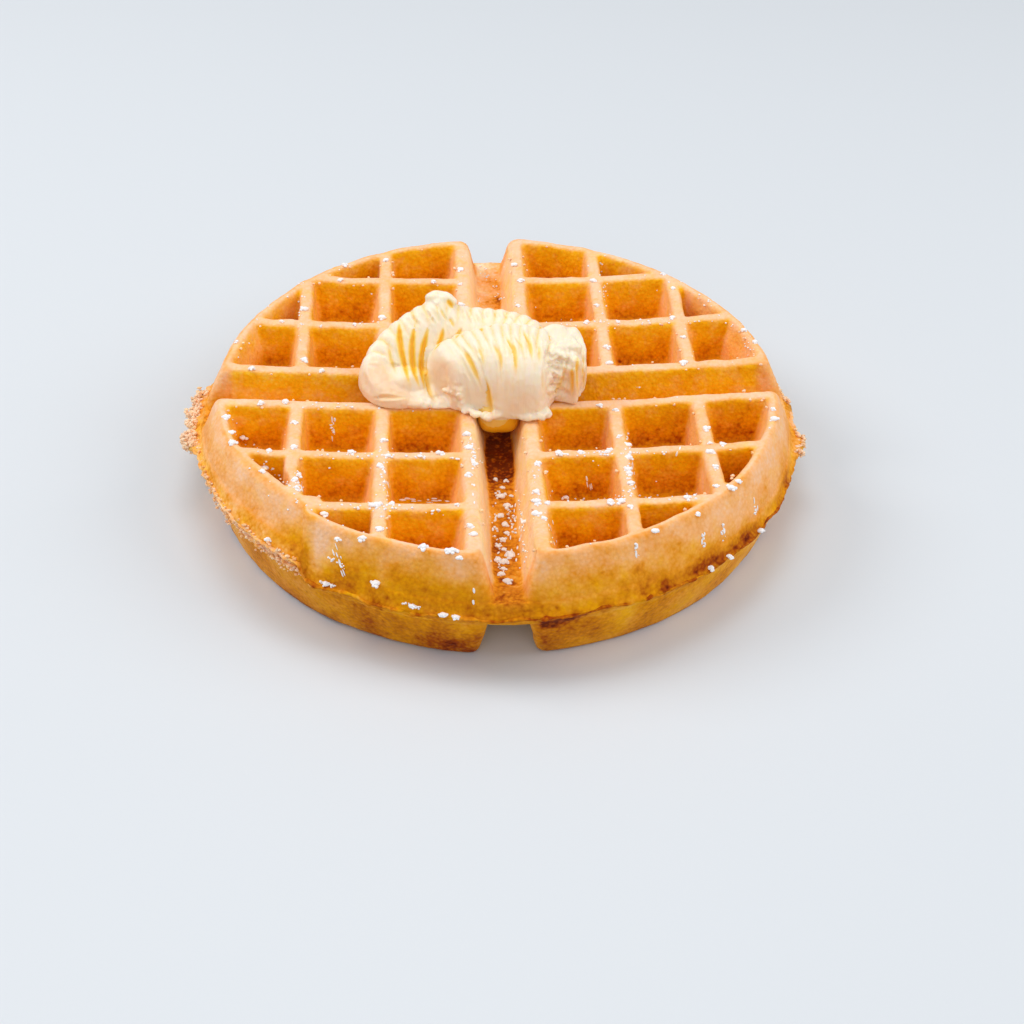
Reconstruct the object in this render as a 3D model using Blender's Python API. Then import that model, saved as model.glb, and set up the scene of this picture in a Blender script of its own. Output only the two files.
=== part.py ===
"""A round belgian waffle with a scoop of whipped butter on its middle and sugar on its ribs.

The waffle is one solid: four quarters of eight pockets each, parted by a cross of channels on
both faces, inside a rim that slopes out to a ragged parting line. It is drawn flat first, with
its resting face on z = 0, and bent afterwards: its middle has sunk, so the top is a shallow bowl.
Sizes are in millimetres and are turned into metres when a mesh is made. The front is -Y.
"""
import math
import random

import bmesh
import bpy
from mathutils import Matrix, Vector, noise
from mathutils.geometry import delaunay_2d_cdt

MM = 0.001

# The iron: a grid of pockets on a pitch, parted by the channels that make the four quarters
PITCH = 24.6
RIB = 3.8
POCKET = PITCH - RIB
CHANNEL_HALF = 7.05
FIRST_POCKET = 11.1
ROWS = 3
POCKET_DEPTH = 12.8
POCKET_DRAFT = math.tan(math.radians(11.0))

# Heights of the flat drawing
TOP = 29.8
TOP_FLOOR = TOP - POCKET_DEPTH
BOTTOM_FLOOR = 12.6
PARTING = 14.3

# Radii of the rim
RIM_TOP = 82.4
RIM_LAND = 2.6
RIM_PARTING = 88.4
RIM_BOTTOM = 83.2
UPPER_SLOPE = (RIM_PARTING - RIM_TOP) / (TOP - PARTING)
LOWER_SLOPE = (RIM_PARTING - RIM_BOTTOM) / PARTING

# Channel floors, and how far an edge is rounded
TOP_CHANNEL_FLOOR = 3.0
BOTTOM_CHANNEL_FLOOR = 4.0
BOTTOM_CHANNEL_HALF = 7.8
EDGE = 0.8
FILLET = 1.2
POCKET_CORNER = 1.6
SMALL_POCKET_SQUEEZE = 0.5
BLOCK_CORNER = 2.0

# The sunk middle: how much the top rises with the square of the distance, per millimetre
BOWL_X = 0.00051
BOWL_Y = 0.00062

# The ragged parting line: a fin all round, and two places where batter crept further out
FIN = 0.9
FIN_RAGGED = 0.7
FIN_HALF_HEIGHT = 0.9
FIN_GRAIN = 11.0
FIN_FINE_GRAIN = 31.0
FIN_WAVE = 0.5
FIN_WAVE_GRAIN = 9.0
FIN_LEAST = 0.25
CREEP = ((184.0, 9.0, 4.2), (172.0, 5.0, 2.2), (352.0, 7.0, 2.6), (7.0, 4.0, 2.0))

# The front left rim: pushed in up to a crease that slants, with a wider land
CREASE_FOOT = -127.4
CREASE_TOP = -131.0
PUSHED_FROM = -160.0
PUSH_LAND = 2.4
PUSH_WALL = 1.5
BULGE_PAST_CREASE = 0.6
PUSH_STARTS_AT = 72.0

# There too, the parting line runs higher up the wall
LEDGE_LIFT = 4.0
LEDGE_FROM = -178.0
LEDGE_TO = -127.2

# Waves of the baked surface
WAVE = 0.45
WAVE_GRAIN = 17.0
WAVE_FROM = 44.0
ROUGH_ROUND = 0.5
ROUGH_ROUND_GRAIN = 3.0
ROUGH_ROUND_FROM = 70.0

# How finely the outlines are drawn
RIM_STEPS = 26
END_STEPS = 3
CHANNEL_STEPS = 5

# Sugar
SUGAR_SEED = 11
SUGAR_ON_RIBS = 62
SUGAR_IN_FRONT_CHANNEL = 14
SUGAR_SPACING = 6.0
SUGAR_LARGEST = 1.25
SUGAR_SMALLEST = 0.7
SUGAR_SUNK = 0.25
SUGAR_FROM_EDGE = 1.0
CHANNEL_SUGAR_SPACING = 2.9
CHANNEL_SUGAR_HALF = 1.6
CHANNEL_SUGAR_FROM = -78.0
CHANNEL_SUGAR_TO = -28.0

# Butter: two fluted curls, a broken lump at their right end, a flap, and what sags into the front channel
BUTTER_GAP = 0.3
BUTTER_BASE = TOP + BUTTER_GAP
BUTTER_CLEAR = 3.0
BUTTER_MIDDLE = (-7.0, 2.0)
BUTTER_SPREAD = (36.0, 21.0)
CURL_RINGS = 9
POINTS_PER_FLUTE = 3
LEFT_FULLNESS = 0.9
# Each station: x, y, height, reach to the curl's right-hand side, reach to its left-hand side, and the
# right-hand side's section, from 0.7 for a full one to 1.6 for a straight slope
BACK_CURL = ((-23.5, -8.4, 2.8, 3.0, 3.5, 0.9),
             (-32.5, -5.8, 5.5, 9.0, 5.0, 1.0),
             (-36.5, 0.5, 8.0, 14.5, 4.5, 1.1),
             (-35.0, 6.5, 11.0, 15.5, 4.5, 1.3),
             (-30.0, 11.0, 15.0, 15.0, 5.0, 1.3),
             (-23.0, 14.0, 19.0, 13.5, 5.0, 1.1),
             (-16.5, 15.5, 21.3, 12.0, 5.5, 0.9),
             (-10.0, 15.0, 18.5, 10.0, 6.5, 0.8),
             (2.0, 14.0, 17.5, 10.0, 6.5, 0.8),
             (10.0, 10.5, 16.5, 8.0, 6.5, 0.8),
             (15.0, 6.0, 13.0, 6.0, 5.0, 0.8))
BACK_FLUTES = 22
BACK_FLUTE_DEPTH = 1.5
BACK_SMOOTH = 4.6
FRONT_CURL = ((-20.3, -3.0, 8.0, 8.0, 5.0, 0.8),
              (-17.8, -1.5, 13.8, 11.0, 7.0, 0.8),
              (-11.5, 0.5, 17.2, 13.5, 8.0, 0.75),
              (-2.0, 2.5, 19.5, 18.0, 8.0, 0.75),
              (6.0, 2.5, 19.8, 19.5, 8.0, 0.7),
              (13.0, 1.5, 18.5, 18.5, 8.0, 0.7),
              (17.5, 1.0, 15.0, 14.0, 7.0, 0.8))
FRONT_FLUTES = 9
FRONT_FLUTE_DEPTH = 1.4
FRONT_SMOOTH = 1.6
FRONT_SLANT = -1.4
LUMP_AT = (17.6, 1.0, 5.0)
LUMP_SIZE = (7.8, 10.0, 11.4)
TIP_AT = (-16.6, 16.0, 19.4)
TIP_SIZE = (4.6, 3.2, 3.5)
HEEL_AT = (-23.0, -4.0, 0.5)
HEEL_SIZE = (8.5, 5.5, 3.4)
SAG_AT = (0.0, -4.0)
SAG_SIZE = (5.9, 11.3, 8.4)
SAG_BOXINESS = 0.55
SAG_TOP = 0.35
FLAP_AT = (-23.5, -9.3)
FLAP_SIZE = (5.5, 2.2, 1.8)


class Cap:
    """One face of the waffle: which way it looks and where its levels lie."""

    def __init__(self, surface, inward, floor, slope, rim, channel_half, channel_floor):
        self.surface = surface
        self.inward = inward
        self.floor = floor
        self.slope = slope
        self.rim = rim
        self.channel_half = channel_half
        self.channel_floor = channel_floor
        self.depth = abs(surface - floor)

    def height(self, depth):
        return self.surface + self.inward * depth


UPPER = Cap(TOP, -1, TOP_FLOOR, UPPER_SLOPE, RIM_TOP, CHANNEL_HALF, TOP_CHANNEL_FLOOR)
LOWER = Cap(0.0, 1, BOTTOM_FLOOR, LOWER_SLOPE, RIM_BOTTOM, BOTTOM_CHANNEL_HALF, BOTTOM_CHANNEL_FLOOR)


def clear_scene():
    for item in list(bpy.data.objects):
        bpy.data.objects.remove(item, do_unlink=True)


def clamp(value, low=0.0, high=1.0):
    return max(low, min(high, value))


def ease(value):
    t = clamp(value)
    return t * t * (3.0 - 2.0 * t)


def material(name, colour, roughness):
    """A plain Principled material."""
    finish = bpy.data.materials.new(name)
    finish.use_nodes = True
    shader = finish.node_tree.nodes["Principled BSDF"]
    shader.inputs["Base Color"].default_value = (*colour, 1.0)
    shader.inputs["Roughness"].default_value = roughness
    shader.inputs["Metallic"].default_value = 0.0
    return finish


# Outlines, all in the quarter where x and y are positive

def line_meets_circle(along, radius):
    return math.sqrt(max(radius * radius - along * along, 0.0))


def corner_between(first, second, limits):
    """Where two sides of an outline meet. Sides run anticlockwise."""
    x_low, x_high, y_low, y_high, radius = limits
    if (first, second) == ("left", "bottom"):
        return x_low, y_low
    if (first, second) == ("bottom", "right"):
        return x_high, y_low
    if (first, second) == ("right", "top"):
        return x_high, y_high
    if (first, second) == ("top", "left"):
        return x_low, y_high
    if (first, second) == ("bottom", "arc"):
        return line_meets_circle(y_low, radius), y_low
    if (first, second) == ("right", "arc"):
        return x_high, line_meets_circle(x_high, radius)
    if (first, second) == ("arc", "top"):
        return line_meets_circle(y_high, radius), y_high
    return x_low, line_meets_circle(x_low, radius)


NORMAL_ANGLE = {"left": math.pi, "bottom": 1.5 * math.pi, "right": 0.0, "top": 0.5 * math.pi}


def normal_angle(side, point):
    if side == "arc":
        return math.atan2(point[1], point[0])
    return NORMAL_ANGLE[side]


def outline(sides, limits, corner, corner_steps, side_steps):
    """Points round a convex shape bounded by straight sides and an arc about the origin.

    Each corner is rounded; side_steps gives how many pieces each side is drawn in.
    """
    x_low, x_high, y_low, y_high, radius = limits
    inner = (x_low + corner, x_high - corner, y_low + corner, y_high - corner, radius - corner)
    rounded = []
    for index, side in enumerate(sides):
        following = sides[(index + 1) % len(sides)]
        centre = corner_between(side, following, inner)
        start = normal_angle(side, centre)
        turn = (normal_angle(following, centre) - start) % (2.0 * math.pi)
        fan = [start + turn * step / corner_steps for step in range(corner_steps + 1)]
        rounded.append([(centre[0] + corner * math.cos(a), centre[1] + corner * math.sin(a)) for a in fan])
    points = []
    for index, fan in enumerate(rounded):
        points.extend(fan)
        following = sides[(index + 1) % len(sides)]
        steps = side_steps.get(following, 1)
        begin = fan[-1]
        finish = rounded[(index + 1) % len(rounded)][0]
        points.extend(between(following, begin, finish, steps, radius))
    return points


def between(side, begin, finish, steps, radius):
    """The points inside one side, without its ends."""
    inside = []
    for step in range(1, steps):
        t = step / steps
        if side == "arc":
            start = math.atan2(begin[1], begin[0])
            angle = start + (math.atan2(finish[1], finish[0]) - start) * t
            inside.append((radius * math.cos(angle), radius * math.sin(angle)))
        else:
            inside.append((begin[0] + (finish[0] - begin[0]) * t, begin[1] + (finish[1] - begin[1]) * t))
    return inside


def pocket_start(index):
    return FIRST_POCKET + index * PITCH


def pocket_sides(column, row, radius):
    """The sides of a pocket, or None where the rim leaves no room for one."""
    x_low = pocket_start(column)
    y_low = pocket_start(row)
    x_high = x_low + POCKET
    y_high = y_low + POCKET
    if math.hypot(x_low, y_low) > radius:
        return None
    if math.hypot(x_high, y_high) < radius + 1.0:
        return ("left", "bottom", "right", "top")
    if math.hypot(x_low, y_high) < radius:
        return ("left", "bottom", "arc", "top")
    if math.hypot(x_high, y_low) < radius:
        return ("left", "bottom", "right", "arc")
    return ("left", "bottom", "arc")


def pocket_profile(cap, sides):
    """How far the wall stands in from the mouth at each depth, from the land to the floor."""
    wall_end = cap.depth - FILLET
    squeeze = SMALL_POCKET_SQUEEZE if len(sides) == 3 else 1.0
    return ((-0.6 * EDGE, 0.0),
            (0.25 * EDGE, EDGE),
            (POCKET_DRAFT * wall_end * squeeze, wall_end),
            ((POCKET_DRAFT * cap.depth + FILLET) * squeeze, cap.depth))


def pocket_loops(cap, column, row):
    """The rings of one pocket as (points, height), or None."""
    rim = cap.rim - RIM_LAND
    sides = pocket_sides(column, row, rim)
    if sides is None:
        return None
    x_low = pocket_start(column)
    y_low = pocket_start(row)
    corner = POCKET_CORNER if len(sides) == 4 else POCKET_CORNER * SMALL_POCKET_SQUEEZE
    loops = []
    for inset, depth in pocket_profile(cap, sides):
        limits = (x_low + inset, x_low + POCKET - inset, y_low + inset, y_low + POCKET - inset, rim - inset)
        loops.append((outline(sides, limits, corner, 1, {"arc": 4}), cap.height(depth)))
    return loops


def block_profile(cap):
    """Channel half width, rim radius and depth of a quarter's outside, from the land to the floor."""
    lean = (cap.channel_half - cap.channel_floor - FILLET) / cap.depth
    wall_end = cap.depth - FILLET
    return ((cap.channel_half + 0.6 * EDGE, cap.rim - 0.6 * EDGE, 0.0),
            (cap.channel_half - 0.25 * EDGE, cap.rim + 0.3 * EDGE, EDGE),
            (cap.channel_half - lean * wall_end, cap.rim + cap.slope * wall_end, wall_end),
            (cap.channel_floor, cap.rim + cap.slope * cap.depth, cap.depth))


def block_loops(cap):
    """The rings of one quarter's outside as (points, height)."""
    loops = []
    for half, radius, depth in block_profile(cap):
        limits = (half, radius, half, radius, radius)
        steps = {"bottom": CHANNEL_STEPS, "left": CHANNEL_STEPS, "arc": RIM_STEPS}
        loops.append((outline(("left", "bottom", "arc"), limits, BLOCK_CORNER, 2, steps), cap.height(depth)))
    return loops


# Where the parts of a quarter's outline lie in its list of points
CORNER_POINTS = 3
ARC_FIRST = CORNER_POINTS + (CHANNEL_STEPS - 1) + CORNER_POINTS - 1
ARC_LAST = ARC_FIRST + RIM_STEPS


def mirrored(points, x_sign, y_sign):
    """A quarter's points in another quarter, still anticlockwise."""
    moved = [(x * x_sign, y * y_sign) for x, y in points]
    return moved if x_sign * y_sign > 0 else moved[::-1]


QUARTERS = ((1, 1), (-1, 1), (-1, -1), (1, -1))


class Shell:
    """The waffle's mesh while it is put together."""

    def __init__(self):
        self.mesh = bmesh.new()

    def loop(self, points, height):
        return [self.mesh.verts.new((x, y, height)) for x, y in points]

    def bridge(self, first, second):
        count = len(first)
        for index in range(count):
            following = (index + 1) % count
            self.mesh.faces.new((first[index], first[following], second[following], second[index]))

    def fill(self, loop):
        self.mesh.faces.new(loop)

    def land(self, outer, holes):
        """Fills the flat between a quarter's edge and its pockets with triangles."""
        verts = list(outer)
        edges = [(i, (i + 1) % len(outer)) for i in range(len(outer))]
        for hole in holes:
            base = len(verts)
            edges += [(base + i, base + (i + 1) % len(hole)) for i in range(len(hole))]
            verts += hole
        flat = [Vector((v.co.x, v.co.y)) for v in verts]
        rings = [[(v.co.x, v.co.y) for v in hole] for hole in holes]
        _, _, faces, sources, _, _ = delaunay_2d_cdt(flat, edges, [], 1, 1e-6)
        for face in faces:
            corners = [verts[sources[i][0]] for i in face]
            x = sum(v.co.x for v in corners) / 3.0
            y = sum(v.co.y for v in corners) / 3.0
            if not any(inside(x, y, ring) for ring in rings):
                self.mesh.faces.new(corners)


def inside(x, y, ring):
    """Whether a point lies in a closed ring of points."""
    odd = False
    before_x, before_y = ring[-1]
    for at_x, at_y in ring:
        if (at_y > y) != (before_y > y):
            if x < at_x + (y - at_y) / (before_y - at_y) * (before_x - at_x):
                odd = not odd
        before_x, before_y = at_x, at_y
    return odd


def build_cap(shell, cap):
    """One face with its pockets and channels. Returns the ring of points round its floor level."""
    cross = []
    ring = []
    quarter_rings = block_loops(cap)
    for x_sign, y_sign in QUARTERS:
        outside = [shell.loop(mirrored(points, x_sign, y_sign), height) for points, height in quarter_rings]
        for upper, lower in zip(outside, outside[1:]):
            shell.bridge(upper, lower)
        mouths = []
        for column in range(ROWS):
            for row in range(ROWS):
                loops = pocket_loops(cap, column, row)
                if loops is None:
                    continue
                rings = [shell.loop(mirrored(points, x_sign, y_sign), height) for points, height in loops]
                for upper, lower in zip(rings, rings[1:]):
                    shell.bridge(upper, lower)
                shell.fill(rings[-1])
                mouths.append(rings[0])
        shell.land(outside[0], mouths)
        floor = outside[-1] if x_sign * y_sign > 0 else outside[-1][::-1]
        arc = floor[ARC_FIRST:ARC_LAST + 1]
        along = floor[ARC_LAST:] + floor[:ARC_FIRST + 1]
        if x_sign * y_sign < 0:
            arc = arc[::-1]
            along = along[::-1]
        ring.append(arc)
        cross.append(along[::-1])
    closed = []
    floor_edge = []
    height = cap.floor
    for index, arc in enumerate(ring):
        following = ring[(index + 1) % len(ring)]
        end = channel_end(shell, arc[-1], following[0], height)
        closed += arc + end
        floor_edge += cross[index] + end
    shell.fill(floor_edge)
    return closed


def channel_end(shell, begin, finish, height):
    """The points of the rim between two quarters, at the channel's floor."""
    radius = math.hypot(begin.co.x, begin.co.y)
    start = math.atan2(begin.co.y, begin.co.x)
    turn = (math.atan2(finish.co.y, finish.co.x) - start) % (2.0 * math.pi)
    angles = [start + turn * step / END_STEPS for step in range(1, END_STEPS)]
    return shell.loop([(radius * math.cos(a), radius * math.sin(a)) for a in angles], height)


def wrap(degrees):
    return (degrees + 180.0) % 360.0 - 180.0


def fin_reach(angle):
    """How far the fin at the parting line sticks out of the wall, in one direction."""
    degrees = math.degrees(angle)
    x = math.cos(angle)
    y = math.sin(angle)
    ragged = noise.noise(Vector((x, y, 0.0)) * FIN_GRAIN)
    ragged += 0.7 * noise.noise(Vector((x, y, 3.0)) * FIN_FINE_GRAIN)
    reach = FIN + FIN_RAGGED * ragged
    for centre, width, amount in CREEP:
        away = wrap(degrees - centre) / width
        reach += amount * math.exp(-away * away) * (0.8 + 0.5 * ragged)
    return max(reach, FIN_LEAST)


def build_parting(shell, upper, lower):
    """The wall between the two channel floors, with the ragged fin."""
    above = []
    tip = []
    for high, low in zip(upper, lower):
        angle = math.atan2(high.co.y + low.co.y, high.co.x + low.co.x)
        direction = Vector((math.cos(angle), math.sin(angle), 0.0))
        wave = FIN_WAVE * noise.noise(direction * FIN_WAVE_GRAIN + Vector((0.0, 0.0, 7.0)))
        above.append(shell.mesh.verts.new(direction * RIM_PARTING + Vector((0, 0, PARTING + FIN_HALF_HEIGHT))))
        reach = RIM_PARTING + fin_reach(angle)
        tip.append(shell.mesh.verts.new(direction * reach + Vector((0, 0, PARTING + wave))))
    shell.bridge(upper, above)
    shell.bridge(above, tip)
    shell.bridge(tip, lower)


def waffle_shell():
    """The waffle drawn flat, without sugar."""
    shell = Shell()
    upper = build_cap(shell, UPPER)
    lower = build_cap(shell, LOWER)
    build_parting(shell, upper, lower)
    bmesh.ops.triangulate(shell.mesh, faces=shell.mesh.faces[:])
    bmesh.ops.recalc_face_normals(shell.mesh, faces=shell.mesh.faces[:])
    return shell.mesh


def on_land(x, y, margin):
    """Whether a spot lies on the top of a rib or the rim, a margin away from every edge."""
    x = abs(x)
    y = abs(y)
    reach = math.hypot(x, y)
    if min(x, y) < CHANNEL_HALF + margin or reach > RIM_TOP - margin:
        return False
    if reach > RIM_TOP - RIM_LAND + margin:
        return True
    across = (x - FIRST_POCKET) % PITCH
    along = (y - FIRST_POCKET) % PITCH
    x_on_rib = across > POCKET + margin and across < PITCH - margin or x < FIRST_POCKET - margin
    y_on_rib = along > POCKET + margin and along < PITCH - margin or y < FIRST_POCKET - margin
    return x_on_rib or y_on_rib


def under_butter(x, y):
    """Whether a spot is too near the butter, which lies in an oval."""
    across = (x - BUTTER_MIDDLE[0]) / (BUTTER_SPREAD[0] + BUTTER_CLEAR)
    along = (y - BUTTER_MIDDLE[1]) / (BUTTER_SPREAD[1] + BUTTER_CLEAR)
    return across * across + along * along < 1.0


def sugar_spots():
    """Places for the sugar as (x, y, height, size), the largest first."""
    draw = random.Random(SUGAR_SEED)
    spots = []

    def free(x, y, spacing):
        return all(math.hypot(x - spot[0], y - spot[1]) > spacing for spot in spots)

    wanted = SUGAR_ON_RIBS + SUGAR_IN_FRONT_CHANNEL
    while len(spots) < SUGAR_ON_RIBS:
        x = draw.uniform(-RIM_TOP, RIM_TOP)
        y = draw.uniform(-RIM_TOP, RIM_TOP)
        if on_land(x, y, SUGAR_FROM_EDGE) and not under_butter(x, y) and free(x, y, SUGAR_SPACING):
            spots.append((x, y, TOP))
    while len(spots) < wanted:
        x = draw.uniform(-CHANNEL_SUGAR_HALF, CHANNEL_SUGAR_HALF)
        y = draw.uniform(CHANNEL_SUGAR_FROM, CHANNEL_SUGAR_TO)
        if free(x, y, CHANNEL_SUGAR_SPACING):
            spots.append((x, y, TOP_FLOOR))
    shrink = (SUGAR_LARGEST - SUGAR_SMALLEST) / wanted
    return [(x, y, z, SUGAR_LARGEST - shrink * draw.uniform(0, wanted)) for x, y, z in spots]


def sugar_lumps():
    """A collection of small uneven lumps of sugar, each partly sunk in what it lies on."""
    group = bpy.data.collections.new("sugar lumps")
    bpy.context.scene.collection.children.link(group)
    draw = random.Random(SUGAR_SEED + 1)
    for number, (x, y, z, size) in enumerate(sugar_spots()):
        lump = bmesh.new()
        bmesh.ops.create_icosphere(lump, subdivisions=1, radius=size)
        stretch = Matrix.Diagonal((draw.uniform(0.85, 1.3), draw.uniform(0.75, 1.0), draw.uniform(0.6, 0.8), 1.0))
        turn = Matrix.Rotation(draw.uniform(0, math.tau), 4, "Z") @ Matrix.Rotation(draw.uniform(0.2, 0.6), 4, "X")
        bmesh.ops.transform(lump, matrix=stretch @ turn, verts=lump.verts[:])
        for vert in lump.verts:
            vert.co *= draw.uniform(0.88, 1.12)
        bmesh.ops.translate(lump, vec=(x, y, z + size * SUGAR_SUNK), verts=lump.verts[:])
        group.objects.link(finished_object("lump.{:03d}".format(number), lump, None))
    return group


def finished_object(name, mesh, finish):
    """An object from a bmesh, in millimetres still."""
    data = bpy.data.meshes.new(name)
    mesh.to_mesh(data)
    mesh.free()
    if finish is not None:
        data.materials.append(finish)
    return bpy.data.objects.new(name, data)


def join_all(target, group, solver):
    """Joins every object of a collection to the target with one Boolean, then removes them."""
    joiner = target.modifiers.new("join", "BOOLEAN")
    joiner.operation = "UNION"
    joiner.operand_type = "COLLECTION"
    joiner.collection = group
    joiner.solver = solver
    bpy.context.view_layer.update()
    graph = bpy.context.evaluated_depsgraph_get()
    joined = bpy.data.meshes.new_from_object(target.evaluated_get(graph), depsgraph=graph)
    target.modifiers.clear()
    target.data = joined
    for item in list(group.objects):
        bpy.data.objects.remove(item, do_unlink=True)
    bpy.data.collections.remove(group)


# Bending the flat drawing into the shape it has on the plate

def sink_middle(x, y, z):
    """The rise of a point where the middle has sunk and the rim has not."""
    share = clamp(z / TOP_FLOOR) ** 2
    return share * (BOWL_X * x * x + BOWL_Y * y * y)


def rim_push(angle, reach, z):
    """How far the front left of the rim is pushed in, up to the crease."""
    degrees = math.degrees(angle)
    crease = CREASE_FOOT + (CREASE_TOP - CREASE_FOOT) * clamp((z - PARTING) / (TOP - PARTING))
    into = clamp((degrees - PUSHED_FROM) / 14.0) * clamp((crease - degrees) / 1.2)
    past = ease((degrees - crease) / 1.5) * ease((crease + 24.0 - degrees) / 20.0)
    share = ease((z - PARTING) / 5.0)
    amount = PUSH_LAND if reach < RIM_TOP - 0.5 * RIM_LAND else PUSH_WALL
    near_rim = ease((reach - PUSH_STARTS_AT) / 6.0)
    return share * near_rim * (BULGE_PAST_CREASE * past - amount * into)


def ledge_lift(angle, reach, z):
    """How far the wall's middle height is lifted at the front left, most at the parting line."""
    degrees = math.degrees(angle)
    along = ease((degrees - LEDGE_FROM) / 12.0) * ease((LEDGE_TO - degrees) / 1.6)
    level = clamp(z / PARTING) * clamp((TOP - z) / (TOP - PARTING))
    return LEDGE_LIFT * along * level * ease((reach - RIM_TOP + 0.5) / 2.0)


def unevenness(x, y, z):
    """The gentle waves of a baked surface, none near the butter or on the resting face."""
    reach = math.hypot(x, y)
    share = clamp(z / TOP_FLOOR) * ease((reach - WAVE_FROM) / 12.0)
    return share * WAVE * noise.noise(Vector((x, y, 0.0)) / WAVE_GRAIN)


def bend(point):
    """Where a point of the flat drawing goes, in metres."""
    x, y, z = point
    reach = math.hypot(x, y)
    angle = math.atan2(y, x)
    around = Vector((math.cos(angle), math.sin(angle), z * 0.02))
    rough = ROUGH_ROUND * ease((reach - ROUGH_ROUND_FROM) / 8.0) * noise.noise(around * ROUGH_ROUND_GRAIN)
    pushed = reach + rim_push(angle, reach, z) + rough
    scale = pushed / reach if reach > 0.0 else 1.0
    rise = sink_middle(x, y, z) + unevenness(x, y, z) + ledge_lift(angle, reach, z)
    return Vector((x * scale, y * scale, z + rise)) * MM


def bend_object(item):
    for vert in item.data.vertices:
        vert.co = bend(vert.co)
    item.data.update()


def make_waffle():
    crust = material("crust", (0.80, 0.42, 0.13), 0.6)
    waffle = finished_object("waffle", waffle_shell(), crust)
    bpy.context.scene.collection.objects.link(waffle)
    join_all(waffle, sugar_lumps(), "MANIFOLD")
    bend_object(waffle)
    return waffle


def spline(stations, at):
    """A smooth curve through the stations, each a row of numbers."""
    last = len(stations) - 1
    index = min(int(at), last - 1)
    t = at - index
    before = stations[max(index - 1, 0)]
    here = stations[index]
    there = stations[index + 1]
    after = stations[min(index + 2, last)]
    row = []
    for a, b, c, d in zip(before, here, there, after):
        bend_in = 2.0 * a - 5.0 * b + 4.0 * c - d
        bend_out = 3.0 * b - a - 3.0 * c + d
        row.append(0.5 * (2.0 * b + (c - a) * t + bend_in * t * t + bend_out * t ** 3))
    return row


def even_places(stations, count):
    """Places along a curve, an even distance apart."""
    fine = 200
    last = len(stations) - 1
    rows = [spline(stations, last * i / fine) for i in range(fine + 1)]
    travelled = [0.0]
    for a, b in zip(rows, rows[1:]):
        travelled.append(travelled[-1] + math.hypot(b[0] - a[0], b[1] - a[1]))
    places = []
    step = 0
    for i in range(count + 1):
        target = travelled[-1] * i / count
        while step < fine - 1 and travelled[step + 1] < target:
            step += 1
        part = (target - travelled[step]) / (travelled[step + 1] - travelled[step])
        places.append(last * (step + clamp(part)) / fine)
    return places


def curl(stations, flutes, flute_depth, smooth, slant):
    """A curl of butter: half an oval section swept along a curve, with flutes across it.

    The first flutes are smooth ones. slant leans the flutes along the curl on its right-hand
    side, most at the start.
    """
    columns = flutes * POINTS_PER_FLUTE
    mesh = bmesh.new()
    rows = []
    for column, at in enumerate(even_places(stations, columns)):
        x, y, height, right, left, right_fullness = spline(stations, at)
        step = 0.01
        near = spline(stations, max(at - step, 0.0))
        far = spline(stations, min(at + step, len(stations) - 1.0))
        along = Vector((far[0] - near[0], far[1] - near[1])).normalized()
        sideways = Vector((along.y, -along.x))
        count = column / POINTS_PER_FLUTE
        fluted = ease((count - smooth) / 1.5) * ease((flutes - count) / 1.5)
        end = min(column, columns - column) / (1.5 * POINTS_PER_FLUTE)
        closing = 0.1 + 0.9 * math.sqrt(1.0 - (1.0 - clamp(end)) ** 2)
        row = []
        for ring in range(CURL_RINGS + 1):
            angle = math.pi * ring / CURL_RINGS
            across = math.cos(angle)
            up = math.sin(angle)
            reach = right if across > 0.0 else left
            lean = slant * max(across, 0.0) * (1.0 - count / flutes)
            groove = flute_depth * (1.0 - abs(math.sin(math.pi * (count + lean))))
            groove *= ease(up / 0.45) * fluted
            fullness = right_fullness if across > 0.0 else LEFT_FULLNESS
            out = math.copysign(abs(across) ** fullness, across) * reach * closing - groove * across
            rise = abs(up) ** fullness * height * closing - groove * up
            spot = Vector((x, y)) + sideways * out
            row.append(mesh.verts.new((spot.x, spot.y, BUTTER_BASE + max(rise, 0.0))))
        rows.append(row)
    for row, following in zip(rows, rows[1:]):
        for ring in range(CURL_RINGS):
            mesh.faces.new((row[ring], row[ring + 1], following[ring + 1], following[ring]))
        mesh.faces.new((row[0], following[0], following[-1], row[-1]))
    mesh.faces.new(rows[0])
    mesh.faces.new(rows[-1])
    bmesh.ops.triangulate(mesh, faces=mesh.faces[:])
    bmesh.ops.recalc_face_normals(mesh, faces=mesh.faces[:])
    return mesh


def blob(centre, size, boxiness, roughness, fineness):
    """A rough lump of butter, between an oval and a box."""
    mesh = bmesh.new()
    bmesh.ops.create_icosphere(mesh, subdivisions=2, radius=1.0)
    for vert in mesh.verts:
        out = 1.0 + roughness * noise.noise(vert.co * fineness + Vector(centre))
        squared = [math.copysign(abs(c) ** boxiness, c) * out for c in vert.co]
        vert.co = Vector(centre) + Vector([c * s for c, s in zip(squared, size)])
    return mesh


def flattened(mesh, level):
    """Cuts a lump off flat at a height and closes it."""
    everything = mesh.verts[:] + mesh.edges[:] + mesh.faces[:]
    cut = bmesh.ops.bisect_plane(mesh, geom=everything, plane_co=(0, 0, level), plane_no=(0, 0, -1),
                                 clear_outer=True, dist=0.01)
    rim = [edge for edge in cut["geom_cut"] if isinstance(edge, bmesh.types.BMEdge)]
    bmesh.ops.holes_fill(mesh, edges=rim, sides=0)
    bmesh.ops.triangulate(mesh, faces=mesh.faces[:])
    bmesh.ops.recalc_face_normals(mesh, faces=mesh.faces[:])
    return mesh


def sag():
    """What sinks into the front channel, with a low top that the front curl covers."""
    mesh = blob((*SAG_AT, 0.0), SAG_SIZE, SAG_BOXINESS, 0.0, 1.0)
    for vert in mesh.verts:
        lower = vert.co.z if vert.co.z < 0.0 else SAG_TOP * vert.co.z
        vert.co.z = BUTTER_BASE + lower
    return mesh


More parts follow.
